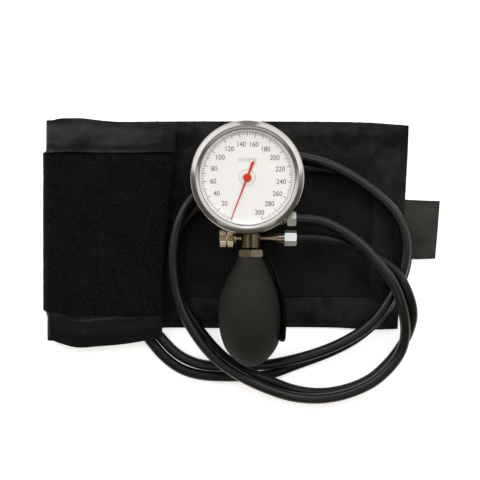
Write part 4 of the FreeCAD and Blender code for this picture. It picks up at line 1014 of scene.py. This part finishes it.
def bulb_shape(r, s, a):
    if r < 5:
        return r
    seam = 0.10 * math.exp(-(math.sin(a) / 0.02) ** 2)           # the mould's parting line
    return r * (1 + 0.0035 * math.sin(2 * a + 0.4)) + seam


bulb = lathe("rubber_bulb", bulb_pts, (HX, HZ), "-Y", bulb_m, closed=False, segs=128, ripple=bulb_shape, stands_for=("bulb",), slot="bulb", sharp=50)
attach(bulb, "base")
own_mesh(bulb)

# ------------------------------------------------------------------ gauge: bezel, dial rim, glass, dial marks, pointer
bezel_pts = fillet([(33.9, 35.4), (35.1, 35.4), (35.6, 36.0), (35.75, 40.6), (35.6, 41.7), (34.9, 42.6), (32.3, 43.7),
                    (32.0, 43.6), (31.8, 42.6), (31.5, 42.5), (30.6, 42.3), (30.3, 42.15), (30.2, 41.95), (30.3, 41.9), (33.5, 41.9), (33.5, 41.05), (33.9, 41.05)],
                   [0.2, 0.3, 0.5, 0.9, 0.9, 0.8, 0.25, 0.15, 0.1, 0.2, 0.2, 0.1, 0.05, 0, 0, 0, 0], 6)
bezel = lathe("bezel", bezel_pts, (GX, GY), "Z", chrome, segs=256, stands_for=("bezel_ring",), slot="bezel", sharp=28)
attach(bezel, "base")

WHITE = lathe("dial_rim", fillet([(29.15, 38.45), (32.3, 38.45), (32.3, 40.2), (30.0, 40.2), (29.85, 40.9), (29.4, 40.95), (29.15, 40.6)], [0, 0.1, 0.1, 0.1, 0.15, 0.2, 0.2], 3), (GX, GY), "Z", dial_m, segs=200,
              stands_for=("dial_ring",), slot="dial")
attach(WHITE, "base")

crystal_pts = [(0, 41.15), (30.4, 41.05), (33.3, 41.05), (33.3, 41.85), (31.4, 41.85), (29.5, 41.9), (20.0, 41.95), (0, 42.0)]
crystal = lathe("crystal_lens", crystal_pts, (GX, GY), "Z", glass, closed=False, segs=160, stands_for=("crystal",), slot="crystal", sharp=40)
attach(crystal, "base")


def dial_angle(p):
    """Direction of a reading from the dial's centre: zero is 20.5 degrees past straight down, clockwise."""
    a = math.radians(20.5 + 1.066 * p)
    return -math.sin(a), -math.cos(a)


DZ = 38.4
pv, pf = [], []


def quad(a, b, c, d, z=DZ + 0.04, under=DZ - 0.02):
    k = len(pv)
    pv.extend([(x, y, z) for x, y in (a, b, c, d)] + [(x, y, under) for x, y in (a, b, c, d)])
    pf.extend([[k, k + 1, k + 2, k + 3], [k + 7, k + 6, k + 5, k + 4]] + [[k + i, k + 4 + i, k + 4 + (i + 1) % 4, k + (i + 1) % 4] for i in range(4)])


def tick(p, r0, r1, width):
    ux, uy = dial_angle(p)
    hx, hy = -uy * width / 2, ux * width / 2
    quad((GX + ux * r0 - hx, GY + uy * r0 - hy), (GX + ux * r1 - hx, GY + uy * r1 - hy),
         (GX + ux * r1 + hx, GY + uy * r1 + hy), (GX + ux * r0 + hx, GY + uy * r0 + hy))


for p in range(0, 301, 2):
    if p % 20 == 0:
        tick(p, 25.6, 28.9, 0.33)
    elif p % 10 == 0:
        tick(p, 26.2, 28.9, 0.29)
    else:
        tick(p, 27.1, 28.9, 0.25)
marks = make("dial_marks", pv, pf, tick_ink, body="base", slot="dial", sharp=30)


def words(name, items, mat, narrow=0.92):
    """Flat raised lettering: items are (text, x, y, height)."""
    verts, faces = [], []
    for text, x, y, size in items:
        cu = bpy.data.curves.new("t", "FONT")
        cu.body = text
        cu.size = size * MM / 0.70
        cu.align_x, cu.align_y = "CENTER", "CENTER"
        cu.extrude = 0.00003
        cu.resolution_u = 4
        ob = bpy.data.objects.new("t", cu)
        scene.collection.objects.link(ob)
        bpy.context.view_layer.update()
        me = bpy.data.meshes.new_from_object(ob.evaluated_get(bpy.context.evaluated_depsgraph_get()))
        k = len(verts)
        verts += [((v.co.x / MM) * narrow + x, (v.co.y / MM) + y, DZ + 0.01 + v.co.z / MM) for v in me.vertices]
        faces += [[i + k for i in q.vertices] for q in me.polygons]
        bpy.data.objects.remove(ob)
        bpy.data.curves.remove(cu)
        bpy.data.meshes.remove(me)
    return make(name, verts, faces, mat, body="base", slot="dial", sharp=30)


numbers = []
for p in range(20, 301, 20):
    ux, uy = dial_angle(p)
    r = 23.0 if p == 300 else 21.4
    numbers.append((str(p), GX + ux * r, GY + uy * r - 0.4, 3.1))
words("dial_numbers", numbers, ink)
words("dial_unit", [("mmHg", GX + 0.2, GY + 11.2, 3.0)], grey_ink, 1.0)
pv, pf = [], []
for k in range(96):
    a, b = 2 * math.pi * k / 96, 2 * math.pi * (k + 1) / 96
    for r0, r1 in ((5.0, 5.28),):
        quad((GX + r0 * math.cos(a), GY + r0 * math.sin(a)), (GX + r1 * math.cos(a), GY + r1 * math.sin(a)),
             (GX + r1 * math.cos(b), GY + r1 * math.sin(b)), (GX + r0 * math.cos(b), GY + r0 * math.sin(b)))
make("dial_ring_mark", pv, pf, grey_ink, body="base", slot="dial", sharp=30)

# pointer
rest = math.radians(-111.0)
ux, uy = math.cos(rest), math.sin(rest)
blade = [(28.2, 0.10, 0.02), (27.6, 0.24, 0.06), (20.0, 0.34, 0.12), (8.0, 0.48, 0.16), (2.0, 0.60, 0.2), (0.0, 0.66, 0.2), (-2.6, 0.60, 0.2), (-6.0, 0.78, 0.2), (-9.8, 0.95, 0.18),
         (-10.4, 0.80, 0.14), (-10.8, 0.35, 0.08)]
bv, bf = [], []
for d, h, ridge in blade:
    for side, z in ((h, 39.22), (0.0, 39.42 + ridge), (-h, 39.22), (0.0, 39.12)):
        bv.append((GX + d * ux - side * uy, GY + d * uy + side * ux, z))
for i in range(len(blade) - 1):
    for j in range(4):
        bf.append([i * 4 + j, i * 4 + (j + 1) % 4, (i + 1) * 4 + (j + 1) % 4, (i + 1) * 4 + j])
bf += [[3, 2, 1, 0], [len(bv) - 4, len(bv) - 3, len(bv) - 2, len(bv) - 1]]
pb = make("pointer_blade", bv, bf, red, body="pointer", stands_for=("pointer",), slot="pointer", sharp=20)
hub_pts = fillet([(0.62, 38.9), (2.55, 38.9), (2.55, 40.0), (1.9, 40.3), (0.95, 40.3), (0.95, 40.1), (0, 40.1)], [0, 0.1, 0.25, 0.2, 0.1, 0, 0], 4, closed=False)
lathe("pointer_hub", hub_pts, (GX, GY), "Z", red, closed=False, segs=96, body="pointer", slot="pointer", sharp=30)

# ------------------------------------------------------------------ head: knob and spoon handle
def knurl(r, x, a):
    if r < 5.3:
        return r
    edge = min(abs(x + 14.3), abs(x + 10.3), abs(x + 9.6), abs(x + 5.8)) / 0.5
    t = abs(((a * 40 / (2 * math.pi)) % 1.0) - 0.5) * 2
    return r - 0.42 * (1 - t) ** 0.8


knob_pts = [(0, -14.9), (2.2, -14.9), (2.5, -14.75), (4.4, -14.75), (5.25, -14.45), (5.8, -14.1), (5.85, -13.6), (5.85, -10.9), (5.7, -10.5),
            (5.2, -10.35), (5.1, -10.0), (5.1, -9.8), (5.2, -9.6), (5.7, -9.45), (5.85, -9.1), (5.85, -6.4), (5.7, -6.0), (5.2, -5.8),
            (3.3, -5.7), (3.2, -5.4), (3.3, -5.05), (4.1, -4.95), (4.2, -4.7), (4.2, -4.3), (4.0, -4.15), (1.55, -4.15), (1.55, -9.0), (0, -9.0)]
lathe("knob_knurled", knob_pts, (CY, HZ), "X", knob_m, closed=False, segs=400, ripple=knurl, body="knob", stands_for=("valve_knob",), slot="knob", sharp=24)

# spoon handle: a pressed leaf, narrow at the neck, wide and hollow along the bulb, with a rolled bright edge
path = soft_line([(12.7, -5.2), (13.9, -5.9), (15.6, -8.6), (17.6, -12.0), (19.5, -15.7), (21.2, -19.5), (22.7, -23.3), (24.0, -27.2), (25.1, -31.2), (25.9, -35.3),
                  (26.6, -40.0), (27.0, -45.0), (27.2, -50.0), (27.2, -55.0), (27.0, -59.5), (26.8, -62.0), (26.6, -64.1)], 4)
sv, sf = [], []
nz = 40
npath = len(path)
for i, (x, y) in enumerate(path):
    t = i / (npath - 1)
    a, b = path[max(0, i - 1)], path[min(npath - 1, i + 1)]
    dx, dy = b[0] - a[0], b[1] - a[1]
    q = math.hypot(dx, dy)
    nx_, ny_ = -dy / q, dx / q                       # points away from the bulb
    half = 4.6 + 6.3 * smooth((t - 0.08) / 0.45)
    end = (1 - t) / 0.16
    if end < 1:
        half *= math.sqrt(max(0.0, 1 - (1 - end) ** 2)) * 0.85 + 0.15
    dish = 0.25
    ring_pts = []
    for k in range(nz + 1):
        s = -1 + 2 * k / nz
        inw = dish * s * s
        ring_pts.append((x - nx_ * inw, y - ny_ * inw, HZ + half * s, s))
    # the rim is rolled inwards, and the end has a thick round lip
    lip = 0.9 + 1.1 * smooth((t - 0.25) / 0.3) + 1.3 * smooth((t - 0.86) / 0.07)
    shut = math.sqrt(max(0.02, 1 - max(0.0, 1 - (1 - t) / 0.075) ** 2))
    for (px, py, pz, s) in ring_pts:
        e = math.sqrt(max(0.0, 1 - max(0, abs(s) - 0.88) ** 2 / 0.12 ** 2)) if abs(s) > 0.88 else 1
        off = -lip / 2 + (0.35 * e + lip / 2) * shut
        sv.append((px + nx_ * off, py + ny_ * off, pz))
    for (px, py, pz, s) in reversed(ring_pts):
        e = math.sqrt(max(0.0, 1 - max(0, abs(s) - 0.88) ** 2 / 0.12 ** 2)) if abs(s) > 0.88 else 1
        inner_ = 0.35 + lip * smooth((abs(s) - 0.35) / 0.4)
        off = -lip / 2 + (lip / 2 - inner_ * e) * shut
        sv.append((px + nx_ * off, py + ny_ * off, pz))
per = 2 * (nz + 1)
for i in range(npath - 1):
    for k in range(per):
        k2 = (k + 1) % per
        sf.append([i * per + k, i * per + k2, (i + 1) * per + k2, (i + 1) * per + k])
sf.append(list(range(per - 1, -1, -1)))
sf.append([(npath - 1) * per + k for k in range(per)])
leaf = make("spoon_leaf", sv, sf, enamel, slot="handle", sharp=45, stands_for=("spoon_handle",))
tidy(leaf)
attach(leaf, "base")
washer_pts = fillet([(5.25, 4.8), (7.6, 4.8), (7.6, 5.7), (5.25, 5.7)], 0.25, 3)
lathe("spoon_washer", washer_pts, (HX, HZ), "-Y", enamel, segs=96, body="base", slot="handle", sharp=30)
